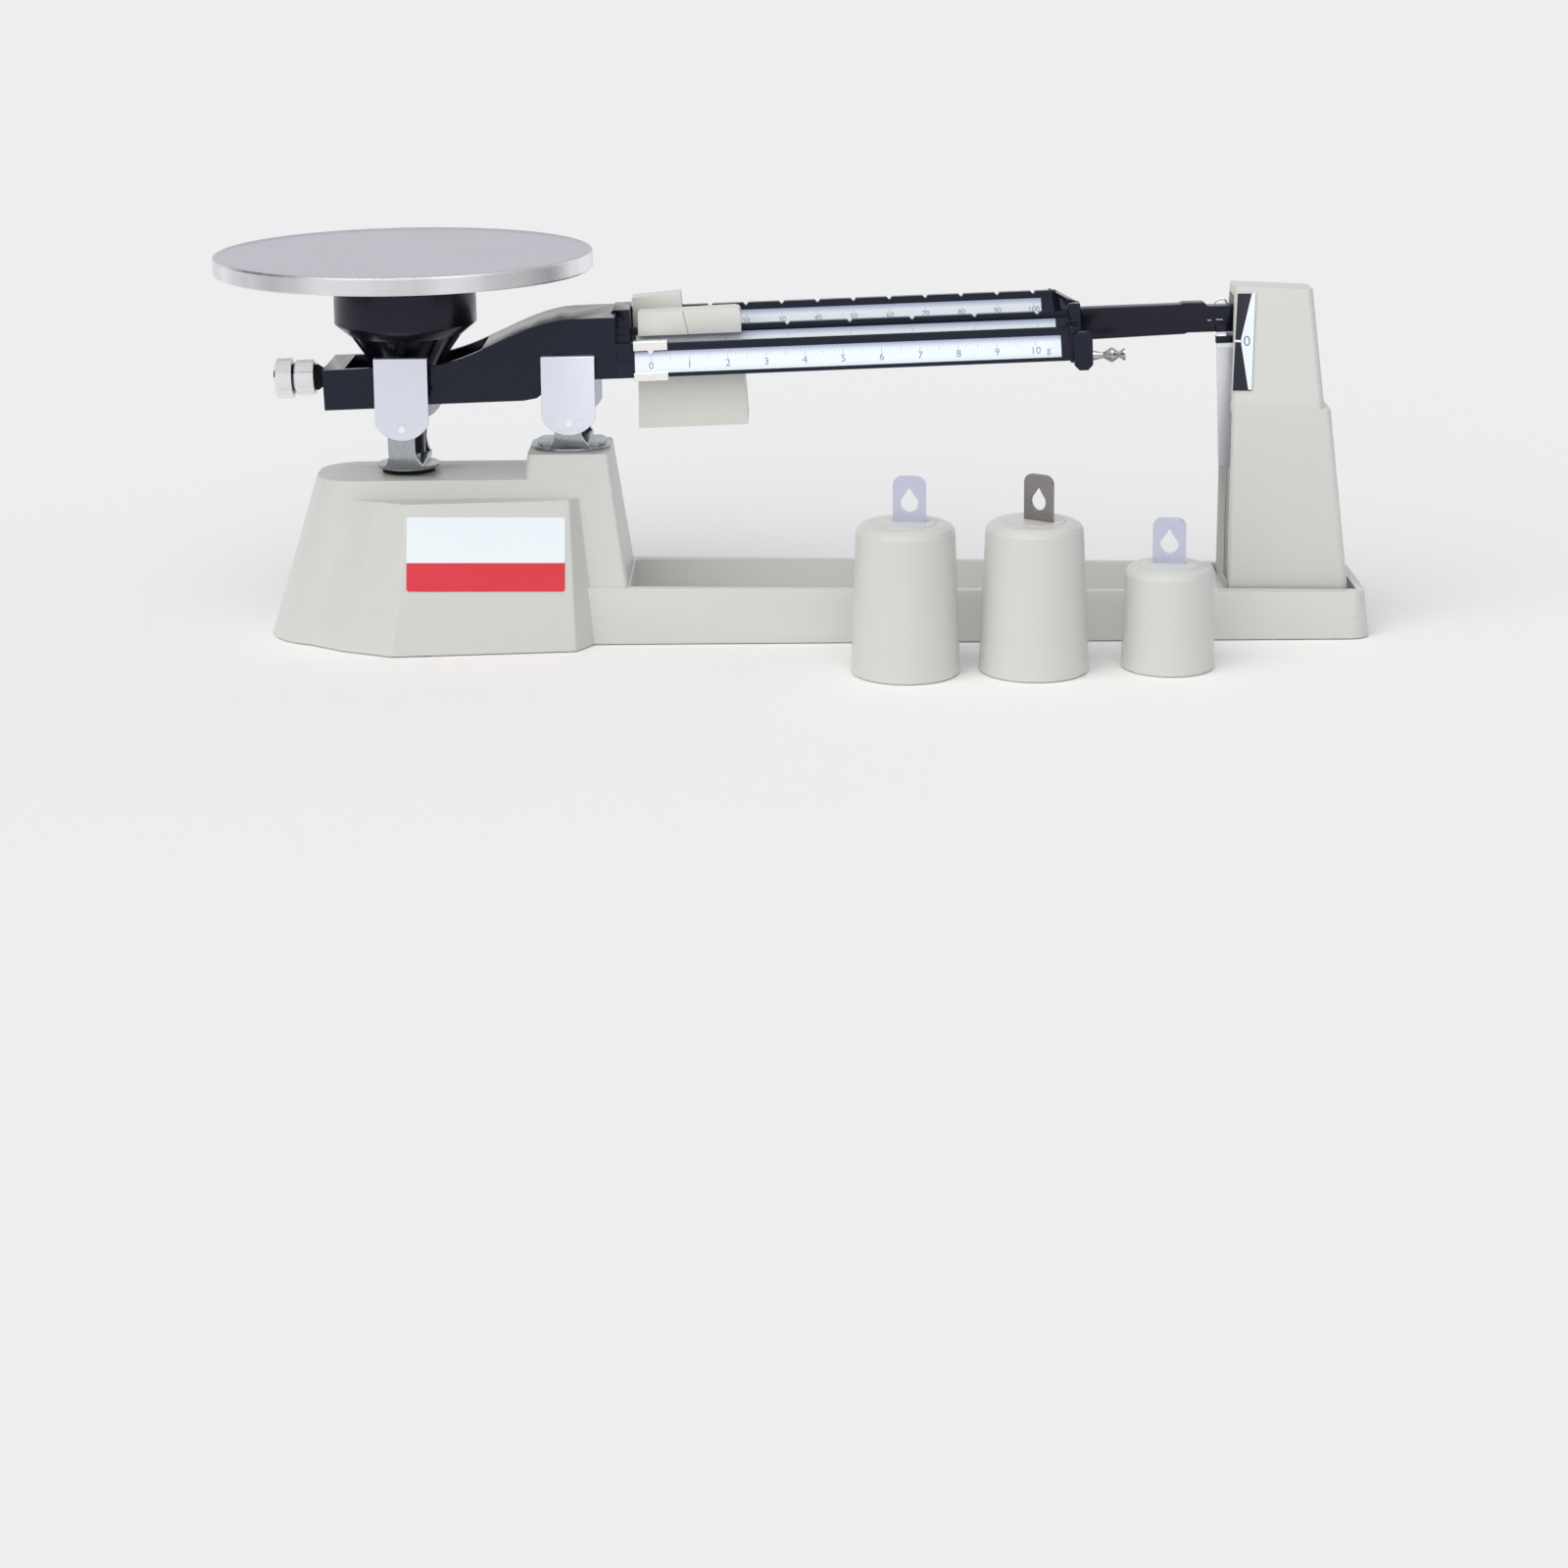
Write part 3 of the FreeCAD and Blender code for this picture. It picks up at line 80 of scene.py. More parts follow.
class Shader:
    """A small builder for one node material in object coordinates."""

    def __init__(self, name, colour, metallic, roughness):
        self.mat = bpy.data.materials.new(name)
        self.mat.use_nodes = True
        self.tree = self.mat.node_tree
        self.tree.nodes.clear()
        self.out = self.tree.nodes.new("ShaderNodeOutputMaterial")
        self.bsdf = self.tree.nodes.new("ShaderNodeBsdfPrincipled")
        self.link(self.bsdf.outputs[0], self.out.inputs["Surface"])
        self.coord = self.tree.nodes.new("ShaderNodeTexCoord")
        self.set("Base Color", (*colour, 1))
        self.set("Metallic", metallic)
        self.set("Roughness", roughness)

    def link(self, source, target):
        self.tree.links.new(source, target)

    def set(self, socket, value):
        self.bsdf.inputs[socket].default_value = value

    def node(self, kind, links=(), **values):
        made = self.tree.nodes.new(kind)
        for key, value in values.items():
            made.inputs[key.replace("_", " ")].default_value = value
        for key, source in dict(links).items():
            self.link(source, made.inputs[key])
        return made

    def mapped(self, scale=(1, 1, 1), place=(0, 0, 0)):
        mapping = self.node("ShaderNodeMapping", {"Vector": self.coord.outputs["Object"]},
                            Scale=scale, Location=place)
        return mapping.outputs["Vector"]

    def noise(self, scale, detail, vector):
        return self.node("ShaderNodeTexNoise", {"Vector": vector}, Scale=scale, Detail=detail).outputs["Fac"]

    def rings(self, scale, vector):
        made = self.node("ShaderNodeTexWave", {"Vector": vector}, Scale=scale, Distortion=3.0, Detail=3.0,
                         Detail_Scale=4.0)
        made.wave_type = "RINGS"
        made.rings_direction = "Z"
        return made.outputs["Fac"]

    def ramp(self, fac, low, high, low_value, high_value):
        made = self.node("ShaderNodeMapRange", {"Value": fac}, From_Min=low, From_Max=high,
                         To_Min=low_value, To_Max=high_value)
        return made.outputs["Result"]

    def mix(self, fac, a, b):
        made = self.tree.nodes.new("ShaderNodeMix")
        made.data_type = "RGBA"
        made.inputs["A"].default_value = (*a, 1)
        made.inputs["B"].default_value = (*b, 1)
        self.link(fac, made.inputs["Factor"])
        return made.outputs["Result"]

    def colour(self, source):
        self.link(source, self.bsdf.inputs["Base Color"])

    def roughness(self, source):
        self.link(source, self.bsdf.inputs["Roughness"])

    def bump(self, height, strength, distance):
        made = self.node("ShaderNodeBump", {"Height": height}, Strength=strength, Distance=distance)
        self.link(made.outputs["Normal"], self.bsdf.inputs["Normal"])


def darker(colour, share):
    return tuple(c * (1 - share) for c in colour)


def enamel(name, colour, roughness, specular=0.5, grain=900.0, peel=0.00003, spread=0.04, tint=(1, 1, 1)):
    """Sprayed paint: slight mottling and a fine orange peel."""
    s = Shader(name, colour, 0.0, roughness)
    s.set("Specular IOR Level", specular)
    s.set("Specular Tint", (*tint, 1))
    vector = s.mapped()
    patch = s.noise(16.0, 4.0, vector)
    s.colour(s.mix(patch, darker(colour, spread), colour))
    s.roughness(s.ramp(patch, 0.3, 0.7, roughness * 0.88, roughness * 1.12))
    s.bump(s.noise(grain, 2.0, vector), 0.35, peel)
    return s.mat


def metal(name, colour, roughness, stretch=(1, 1, 1), grain=500.0, depth=0.00001, spread=0.12):
    """Metal whose grain is drawn out along one axis."""
    s = Shader(name, colour, 1.0, roughness)
    lines = s.noise(grain, 3.0, s.mapped(stretch))
    s.colour(s.mix(lines, darker(colour, spread), colour))
    s.roughness(s.ramp(lines, 0.3, 0.7, roughness * 0.8, roughness * 1.25))
    s.bump(lines, 0.25, depth)
    return s.mat


def spun_metal(name, colour, rim_highlight, roughness):
    """Turned sheet: rings round the pan's middle and fine speckle, with a painted highlight: the upright rim
    is coloured much brighter than the flat top.
    """
    s = Shader(name, colour, 1.0, roughness)
    vector = s.mapped(place=(-PAN_CENTRE[0], -PAN_CENTRE[1], 0))
    rings = s.rings(420.0, vector)
    speckle = s.noise(1400.0, 2.0, vector)
    cloud = s.noise(22.0, 4.0, vector)
    flat = s.mix(cloud, darker(colour, 0.10), colour)
    # Painted highlight: upright faces take the bright rim colour, flat faces the darker top colour.
    tilt = s.node("ShaderNodeSeparateXYZ", {"Vector": s.coord.outputs["Normal"]})
    highlight_mix = s.tree.nodes.new("ShaderNodeMix")
    highlight_mix.data_type = "RGBA"
    streaks = s.noise(30.0, 3.0, s.mapped((1, 1, 0.02)))
    s.link(s.mix(s.ramp(streaks, 0.35, 0.65, 0.0, 1.0), darker(rim_highlight, 0.3), rim_highlight), highlight_mix.inputs["A"])
    s.link(flat, highlight_mix.inputs["B"])
    s.link(s.ramp(tilt.outputs["Z"], 0.25, 0.9, 0.0, 1.0), highlight_mix.inputs["Factor"])
    s.colour(highlight_mix.outputs["Result"])
    s.roughness(s.ramp(speckle, 0.3, 0.7, roughness * 0.8, roughness * 1.2))
    both = s.node("ShaderNodeMath", {0: rings, 1: speckle})
    s.bump(both.outputs[0], 0.3, 0.000006)
    return s.mat


def strip_print(name):
    """White scale print, with painted shade: it darkens to blue-grey under the bar's rib, and is a little
    darker at the foot.
    """
    s = Shader(name, (0.76, 0.84, 0.88), 0.0, 0.3)
    uv = s.node("ShaderNodeUVMap")
    uv.uv_map = "slope"
    split = s.node("ShaderNodeSeparateXYZ", {"Vector": uv.outputs["UV"]})
    # Painted shade: darkest and bluest where the slope map nears the rib.
    rib_shade = s.node("ShaderNodeValToRGB", {"Fac": split.outputs["Y"]})
    stops = rib_shade.color_ramp.elements
    stops[0].position, stops[0].color = 0.0, (0.70, 0.79, 0.84, 1)
    stops[1].position, stops[1].color = 1.0, (0.30, 0.33, 0.48, 1)
    between = ((0.25, (0.86, 0.93, 0.96, 1)), (0.72, (0.84, 0.91, 0.95, 1)), (0.9, (0.48, 0.53, 0.68, 1)))
    for place, colour in between:
        stop = stops.new(place)
        stop.color = colour
    s.colour(rib_shade.outputs["Color"])
    fine = s.noise(700.0, 2.0, s.mapped())
    s.roughness(s.ramp(fine, 0.3, 0.7, 0.25, 0.36))
    s.bump(fine, 0.2, 0.000004)
    return s.mat


CASTING = enamel("casting_enamel", (0.65, 0.65, 0.615), 0.3)
POISE = enamel("poise_enamel", (0.74, 0.735, 0.69), 0.4)
BLACK = enamel("black_enamel", (0.0055, 0.0065, 0.0135), 0.17, specular=0.42, grain=700.0,
               tint=(0.72, 0.76, 1.0))
MOULDED = enamel("black_moulding", (0.006, 0.0062, 0.0115), 0.22, specular=0.38, grain=1200.0,
                 tint=(0.78, 0.8, 1.0))
ANODISED = enamel("anodised_black", (0.005, 0.0065, 0.014), 0.18, specular=0.45, grain=1500.0, peel=0.000008,
                  tint=(0.72, 0.78, 1.0))
RUBBER = enamel("rubber", (0.01, 0.01, 0.01), 0.8, grain=1500.0)
WHITE = enamel("white_print", (0.88, 0.93, 0.96), 0.35, grain=300.0, peel=0.000005)
DIAL_BLACK = enamel("dial_black", (0.018, 0.019, 0.032), 0.4, specular=0.3, grain=900.0, peel=0.000006)
RED = enamel("red_print", (0.72, 0.03, 0.05), 0.35, grain=300.0, peel=0.000005)
INK = enamel("scale_ink", (0.22, 0.26, 0.38), 0.5, grain=300.0, peel=0.000003)
FAINT_INK = enamel("faint_ink", (0.48, 0.54, 0.62), 0.5, grain=300.0, peel=0.000003)
# Painted shadow for the step line down the middle poise.
SEAM_SHADOW = enamel("seam_shadow", (0.30, 0.29, 0.27), 0.6, grain=300.0, peel=0.000003)
# Strip print with painted shade under the rib.
STRIP = strip_print("scale_strip_print")
# The second colour is the tray rim's painted highlight.
TRAY = spun_metal("tray_steel", (0.50, 0.49, 0.56), (0.92, 0.915, 0.94), 0.34)
SHEET = metal("cover_sheet", (0.88, 0.90, 1.0), 0.45, stretch=(1, 1, 12), grain=300.0)
ZINC = metal("zinc_sheet", (0.74, 0.76, 0.84), 0.36, stretch=(1, 1, 6), grain=300.0)
VANE = metal("vane_sheet", (0.93, 0.94, 1.0), 0.4, stretch=(1, 1, 6), grain=300.0, spread=0.06)
BENT = metal("bent_zinc", (0.50, 0.53, 0.57), 0.3, stretch=(6, 6, 1), grain=220.0, spread=0.3)
STEM = metal("stem_zinc", (0.27, 0.30, 0.34), 0.24, stretch=(9, 9, 1), grain=160.0, spread=0.35)
# Steel for the centre weight's strap, coloured much darker than the two side straps.
DARK_STRAP = metal("worn_steel", (0.37, 0.34, 0.34), 0.34, stretch=(1, 1, 8), grain=260.0, spread=0.25)
STRAP = metal("strap_plate", (0.66, 0.68, 0.82), 0.3, stretch=(1, 1, 8), grain=260.0, spread=0.12)
PIN = metal("polished_pin", (1.0, 1.0, 1.0), 0.1, grain=200.0, spread=0.02)
BRIGHT_CLIP = metal("clip_plate", (1.0, 0.975, 0.96), 0.3, stretch=(8, 1, 1), grain=260.0, spread=0.05)
STUD = metal("stud_plate", (0.55, 0.54, 0.56), 0.18, grain=500.0, spread=0.3)
CHROME = metal("bright_plate", (0.92, 0.92, 0.93), 0.13, grain=200.0, spread=0.05)
STEEL = metal("plain_steel", (0.50, 0.50, 0.54), 0.26, stretch=(1, 1, 8), grain=400.0)
LEAD = metal("lead", (0.2, 0.2, 0.22), 0.6, grain=300.0)

LOOK = {
    "casting_paint": CASTING, "beam_paint": BLACK, "poise_paint": POISE, "black_moulding": MOULDED,
    "black_bar": ANODISED, "scale_print": WHITE, "panel_print": WHITE, "tray_metal": TRAY,
    "cover_sheet": SHEET,
    "zinc_sheet": ZINC, "bright_steel": CHROME, "hard_steel": STEEL, "weight_paint": CASTING,
    "magnet": STEEL, "vane_sheet": VANE, "rubber": RUBBER, "lead": LEAD, "screw_steel": STEEL,
}
OWN_LOOK = {
    "hanger_yoke": BENT, "fulcrum_yoke": BENT, "hanger_stem": STEM, "link_bracket": STEM, "check_link": STEM,
    "weight_left_strap": STRAP, "weight_centre_strap": DARK_STRAP, "weight_right_strap": STRAP,
    "fulcrum_cover_pins": PIN, "hanger_cover_pins": PIN, "front_poise": BRIGHT_CLIP,
    "hanging_stud": STUD, "dial_plate": DIAL_BLACK,
}
for name, node in NODES.items():
    node.data.materials.clear()
    node.data.materials.append(OWN_LOOK.get(name, LOOK[SLOT_OF[name]]))


# Making and placing pieces

SHARP_ANGLE = math.radians(35)
FLAT_ANGLE = math.radians(0.4)
EASE_ANGLE = math.radians(28)
EASE_SEGMENTS = 3
WELD_PIECE = 1e-7
WELD_NODE = 2e-6


def body_name(node):
    return NODES[node]["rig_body"]


def to_mesh(obj):
    """Apply every modifier and keep the result as plain mesh."""
    graph = bpy.context.evaluated_depsgraph_get()
    made = bpy.data.meshes.new_from_object(obj.evaluated_get(graph))
    obj.modifiers.clear()
    obj.data = made
    return obj


def new_object(name, mesh):
    obj = bpy.data.objects.new(name, mesh)
    bpy.context.scene.collection.objects.link(obj)
    return obj


def finish_piece(bm, name, material, body, smooth=True):
    """Turn a bmesh into a piece that rides on a body."""
    bmesh.ops.remove_doubles(bm, verts=bm.verts, dist=WELD_PIECE)
    bmesh.ops.recalc_face_normals(bm, faces=bm.faces)
    mesh = bpy.data.meshes.new(name)
    bm.to_mesh(mesh)
    bm.free()
    mesh.materials.append(material)
    obj = new_object(name, mesh)
    if smooth:
        mesh.shade_smooth()
        mesh.set_sharp_from_angle(angle=SHARP_ANGLE)
    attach(obj, body)
    return obj


def eased(node, width):
    """Stand-in for a CAD node with its sharp edges rounded over."""
    mesh = NODES[node].data.copy()
    bm = bmesh.new()
    bm.from_mesh(mesh)
    bmesh.ops.remove_doubles(bm, verts=bm.verts, dist=WELD_NODE)
    bmesh.ops.dissolve_limit(bm, angle_limit=FLAT_ANGLE, verts=bm.verts, edges=bm.edges)
    bm.to_mesh(mesh)
    bm.free()
    mesh.shade_smooth()
    obj = new_object("look_" + node, mesh)
    bevel = obj.modifiers.new("ease", "BEVEL")
    bevel.width = width
    bevel.segments = EASE_SEGMENTS
    bevel.limit_method = "ANGLE"
    bevel.angle_limit = EASE_ANGLE
    bevel.use_clamp_overlap = True
    bevel.miter_outer = "MITER_ARC"
    bevel.harden_normals = True
    to_mesh(obj)
    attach(obj, body_name(node))
    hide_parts(node)
    return obj


def on_beam(x, y, z):
    """World point of a place on the level beam."""
    rise = z - KNIFE_Z
    return Vector((x * math.cos(BEAM_RISE) - rise * math.sin(BEAM_RISE), y,
                   KNIFE_Z + x * math.sin(BEAM_RISE) + rise * math.cos(BEAM_RISE)))


class Facet:
    """Flat outer face of a thin CAD piece, with its own middle and axes."""

    def __init__(self, node, toward, near_y=None):
        mesh = NODES[node].data
        toward = Vector(toward).normalized()
        corners, normals = [], []
        for face in mesh.polygons:
            beside = near_y is not None and abs(face.center.y - near_y) > 0.007
            if face.normal.dot(toward) < 0.96 or beside:
                continue
            normals.append(face.normal.copy())
            for index in face.vertices:
                point = mesh.vertices[index].co
                if all((point - known).length > 1e-5 for known in corners):
                    corners.append(point.copy())
        corners.sort(key=lambda p: p.x)
        half = len(corners) // 2
        left = sum(corners[:half], Vector()) / half
        right = sum(corners[-half:], Vector()) / half
        self.normal = sum(normals, Vector()).normalized()
        self.along = (right - left).normalized()
        self.up = self.normal.cross(self.along).normalized()
        self.middle = (left + right) / 2
        reach = [(p - self.middle).dot(self.up) for p in corners]
        self.middle = self.middle + self.up * (max(reach) + min(reach)) / 2
        self.width = (right - left).length
        self.height = max(reach) - min(reach)

    def point(self, a, b, lift):
        return self.middle + self.along * a + self.up * b + self.normal * lift

    def seen_at(self, x, z):
        """Place on the facet that has this X and this Z."""
        dx, dz = x - self.middle.x, z - self.middle.z
        det = self.along.x * self.up.z - self.up.x * self.along.z
        return (dx * self.up.z - self.up.x * dz) / det, (self.along.x * dz - dx * self.along.z) / det

    def along_beam(self, x):
        """Place along the facet that has this distance along the beam."""
        start = on_beam(x, self.middle.y, KNIFE_Z)
        return (start - self.middle).dot(self.along)

    def matrix(self, a, b, lift):
        made = Matrix((self.along, self.up, self.normal)).transposed().to_4x4()
        made.translation = self.point(a, b, lift)
        return made


def add_slab(bm, facet, outline, low, high):
    """Thin closed plate on a facet, its outline counter-clockwise from outside."""
    bottom = [bm.verts.new(facet.point(a, b, low)) for a, b in outline]
    top = [bm.verts.new(facet.point(a, b, high)) for a, b in outline]
    bm.faces.new(top)
    bm.faces.new(bottom[::-1])
    count = len(outline)
    for i in range(count):
        j = (i + 1) % count
        bm.faces.new((bottom[i], bottom[j], top[j], top[i]))


def add_text(bm, facet, text, a, b, height, lift):
    """Raised print of a number or unit, centred on a place of a facet."""
    curve = bpy.data.curves.new("print", "FONT")
    curve.body = text
    curve.size = height / 0.7
    curve.align_x = "CENTER"
    curve.align_y = "CENTER"
    curve.resolution_u = 3
    curve.extrude = PRINT_THICK / 2
    holder = new_object("print", curve)
    mesh = to_plain_mesh(holder)
    mesh.transform(facet.matrix(a, b, lift + PRINT_THICK / 2))
    bm.from_mesh(mesh)
    bpy.data.meshes.remove(mesh)


def to_plain_mesh(holder):
    """Mesh of a temporary object, which is then removed."""
    graph = bpy.context.evaluated_depsgraph_get()
    made = bpy.data.meshes.new_from_object(holder.evaluated_get(graph))
    bpy.data.objects.remove(holder)
    return made


def rounded_rectangle(x0, x1, y0, y1, low_radius, high_radius, steps=6):
    """Outline with its own radius on the lower and on the upper corners."""
    outline = []
    for cx, cy, radius, turn in ((x0 + low_radius, y0 + low_radius, low_radius, 180),
                                 (x1 - low_radius, y0 + low_radius, low_radius, 270),
                                 (x1 - high_radius, y1 - high_radius, high_radius, 0),
                                 (x0 + high_radius, y1 - high_radius, high_radius, 90)):
        for k in range(steps + 1):
            angle = math.radians(turn + 90 * k / steps)
            outline.append((cx + radius * math.cos(angle), cy + radius * math.sin(angle)))
    return outline


# Geometry node trees for what repeats

def new_tree(name, sizes):
    """Tree with one named input for each size, and a material."""
    tree = bpy.data.node_groups.new(name, "GeometryNodeTree")
    for label, kind in sizes:
        tree.interface.new_socket(label, in_out="INPUT", socket_type=kind)
    tree.interface.new_socket("Finish", in_out="INPUT", socket_type="NodeSocketMaterial")
    tree.interface.new_socket("Geometry", in_out="OUTPUT", socket_type="NodeSocketGeometry")
    return tree, tree.nodes.new("NodeGroupInput"), tree.nodes.new("NodeGroupOutput")


def finish_tree(tree, inputs, output, instances):
    plain = tree.nodes.new("GeometryNodeRealizeInstances")
    finish = tree.nodes.new("GeometryNodeSetMaterial")
    tree.links.new(instances, plain.inputs[0])
    tree.links.new(plain.outputs[0], finish.inputs["Geometry"])
    tree.links.new(inputs.outputs["Finish"], finish.inputs["Material"])
    tree.links.new(finish.outputs[0], output.inputs[0])
    return tree


def mark_row_tree():
    """A row of small blocks along X."""
    sizes = [("Count", "NodeSocketInt"), ("Step", "NodeSocketVector"), ("Size", "NodeSocketVector")]
    tree, inputs, output = new_tree("mark_row", sizes)
    line = tree.nodes.new("GeometryNodeMeshLine")
    block = tree.nodes.new("GeometryNodeMeshCube")
    spread = tree.nodes.new("GeometryNodeInstanceOnPoints")
    tree.links.new(inputs.outputs["Count"], line.inputs["Count"])
    tree.links.new(inputs.outputs["Step"], line.inputs["Offset"])
    tree.links.new(inputs.outputs["Size"], block.inputs["Size"])
    tree.links.new(line.outputs[0], spread.inputs["Points"])
    tree.links.new(block.outputs["Mesh"], spread.inputs["Instance"])
    return finish_tree(tree, inputs, output, spread.outputs[0])


def ridge_ring_tree():
    """A ring of fine ridges round Z, each as long as the knurled band."""
    sizes = [("Count", "NodeSocketInt"), ("Ring Radius", "NodeSocketFloat"),
             ("Ridge Radius", "NodeSocketFloat"), ("Length", "NodeSocketFloat")]
    tree, inputs, output = new_tree("ridge_ring", sizes)
    ring = tree.nodes.new("GeometryNodeMeshCircle")
    ridge = tree.nodes.new("GeometryNodeMeshCylinder")
    ridge.inputs["Vertices"].default_value = 6
    spread = tree.nodes.new("GeometryNodeInstanceOnPoints")
    tree.links.new(inputs.outputs["Count"], ring.inputs["Vertices"])
    tree.links.new(inputs.outputs["Ring Radius"], ring.inputs["Radius"])
    tree.links.new(inputs.outputs["Ridge Radius"], ridge.inputs["Radius"])
    tree.links.new(inputs.outputs["Length"], ridge.inputs["Depth"])
    tree.links.new(ring.outputs[0], spread.inputs["Points"])
    tree.links.new(ridge.outputs["Mesh"], spread.inputs["Instance"])
    return finish_tree(tree, inputs, output, spread.outputs[0])


MARK_ROW = mark_row_tree()
RIDGE_RING = ridge_ring_tree()


def grown(tree, finish, **sizes):
    """Plain mesh from a geometry node tree."""
    holder = new_object("grower", bpy.data.meshes.new("grower"))
    modifier = holder.modifiers.new("grow", "NODES")
    modifier.node_group = tree
    sizes["Finish"] = finish
    for item in tree.interface.items_tree:
        if item.in_out == "INPUT":
            modifier[item.identifier] = sizes[item.name.replace(" ", "_")]
    return to_plain_mesh(holder)


def add_marks(bm, facet, x, count, step, size, b, lift):
    """Row of printed ticks that starts at a distance along the beam."""
    thick = PRINT_THICK
    mesh = grown(MARK_ROW, INK, Count=count, Step=(step, 0, 0), Size=(size[0], size[1], thick))
    mesh.transform(facet.matrix(facet.along_beam(x), b, lift + thick / 2))
    bm.from_mesh(mesh)
    bpy.data.meshes.remove(mesh)


# Scales: strips, ticks and numbers

SLOPE = (0, -0.945, 0.326)


def scale_facets():
    return {name: Facet("scale_strips", SLOPE, near_y=y - 0.003) for name, y in BAR_Y.items()}


def printed_strips(facets):
    """The three strips, with a slope map that runs from foot to rib, for the painted shade under the rib."""
    bm = bmesh.new()
    uv = bm.loops.layers.uv.new("slope")
    for facet in facets.values():
        a, b = facet.width / 2, facet.height / 2
        first = len(bm.faces)
        add_slab(bm, facet, rounded_rectangle(-a, a, -b, b, 0.3 * MM, 0.1 * MM, 3), -0.28 * MM, 0.0)
        bm.faces.ensure_lookup_table()
        for face in bm.faces[first:]:
            for loop in face.loops:
                off = loop.vert.co - facet.middle
                loop[uv].uv = (off.dot(facet.along) / facet.width + 0.5,
                               off.dot(facet.up) / facet.height + 0.5)
    mesh = bpy.data.meshes.new("printed_strips")
    bm.to_mesh(mesh)
    bm.free()
    mesh.materials.append(STRIP)
    obj = new_object("printed_strips", mesh)
    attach(obj, "beam")
    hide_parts("scale_strips")


def scale_marks(facets):
    front, middle, rear = facets["front"], facets["middle"], facets["rear"]
    fine = bmesh.new()
    add_marks(fine, front, FRONT_ZERO, 101, FRONT_GRAM / 10, (0.13 * MM, 1.0 * MM), 1.9 * MM, 0)
    add_marks(fine, front, FRONT_ZERO + FRONT_GRAM / 2, 10, FRONT_GRAM, (0.2 * MM, 1.6 * MM), 1.6 * MM, 0)
    finish_piece(fine, "fine_ticks", FAINT_INK, "beam", smooth=False)

    bold = bmesh.new()
    add_marks(bold, front, FRONT_ZERO, 11, FRONT_GRAM, (0.22 * MM, 2.0 * MM), 1.4 * MM, 0)
    add_marks(bold, middle, MIDDLE_ZERO, 6, MIDDLE_STEP, (0.25 * MM, 1.6 * MM), 2.0 * MM, 0)
    add_marks(bold, rear, REAR_ZERO, 11, REAR_STEP, (0.25 * MM, 1.6 * MM), 2.0 * MM, 0)
    finish_piece(bold, "bold_ticks", FAINT_INK, "beam", smooth=False)

    numbers = bmesh.new()
    for k in range(11):
        place = front.along_beam(FRONT_ZERO + k * FRONT_GRAM)
        add_text(numbers, front, str(k), place, -1.5 * MM, 2.9 * MM, 0)
    unit_x = FRONT_ZERO + 10 * FRONT_GRAM + 5.2 * MM
    add_text(numbers, front, "g", front.along_beam(unit_x), -1.5 * MM, 2.7 * MM, 0)
    for k in range(6):
        place = middle.along_beam(MIDDLE_ZERO + k * MIDDLE_STEP)
        add_text(numbers, middle, str(100 * k), place, -0.6 * MM, 2.4 * MM, 0)
    for k in range(11):
        place = rear.along_beam(REAR_ZERO + k * REAR_STEP)
        add_text(numbers, rear, str(10 * k), place, -0.2 * MM, 2.2 * MM, 0)
    finish_piece(numbers, "scale_numbers", INK, "beam", smooth=False)


# Dial on the tower, and the name panel

DIAL_WHITE = [(274.9, 137.8), (270.3, 119.6), (270.3, 118.3), (273.0, 99.8), (274.35, 99.8), (276.3, 137.8)]
DIAL_LINE = [(267.9, 118.6), (270.6, 118.4), (270.6, 119.2), (267.9, 119.4)]
DIAL_ZERO = (0.27265, 0.1187)
DIAL_FILM = 0.06 * MM


def dial_face():
    facet = Facet("dial_plate", (0, -0.978, 0.206))
    white = bmesh.new()
    for outline in (DIAL_WHITE, DIAL_LINE):
        add_slab(white, facet, [facet.seen_at(x * MM, z * MM) for x, z in outline], 0.0, DIAL_FILM)
    finish_piece(white, "dial_white", WHITE, "base", smooth=False)
    zero = bmesh.new()
    a, b = facet.seen_at(*DIAL_ZERO)
    add_text(zero, facet, "0", a, b, 4.2 * MM, DIAL_FILM)
    finish_piece(zero, "dial_zero", INK, "base", smooth=False)


RED_SHARE = 0.385


def name_panel_face():
    """Two-colour face of the name panel: white above, red below."""
    facet = Facet("name_panel", (0.1, -0.95, 0.27))
    a, b = facet.width / 2, facet.height / 2
    split = -b + facet.height * RED_SHARE
    white = bmesh.new()
    plate = rounded_rectangle(-a, a, -b + 0.2 * MM, b, 1.0 * MM, 0.8 * MM)
    add_slab(white, facet, plate, -0.28 * MM, -0.02 * MM)
    panel = finish_piece(white, "panel_white", WHITE, "base", smooth=False)
    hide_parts("name_panel")
    red = bmesh.new()
    add_slab(red, facet, rounded_rectangle(-a, a, -b, split, 1.2 * MM, 0.05 * MM), -0.24 * MM, 0.0)
    finish_piece(red, "panel_red", RED, "base", smooth=False)


# Marks, bright patches and a painted shadow line on the beam and the middle poise

ARM_FRONT = -0.003
ARM_MARKS = [(0.2592, 0.1175, 1.5), (0.2633, 0.1176, 2.7)]


def arm_marks():
    """Two short pale lines on the arm's near side, each with its place and length."""
    bm = bmesh.new()
    for x, z, length in ARM_MARKS:
        block = bmesh.ops.create_cube(bm, size=1.0)["verts"]
        bmesh.ops.scale(bm, vec=(length * MM, 0.12 * MM, 0.4 * MM), verts=block)
        bmesh.ops.translate(bm, vec=on_beam(x, ARM_FRONT, z), verts=block)
    finish_piece(bm, "arm_marks", FAINT_INK, "beam", smooth=False)


POISE_FRONT = -0.0086
SEAM_CORNERS = [(0.04677, 0.1306), (0.04695, 0.1306), (0.04893, 0.1212), (0.04875, 0.1212)]


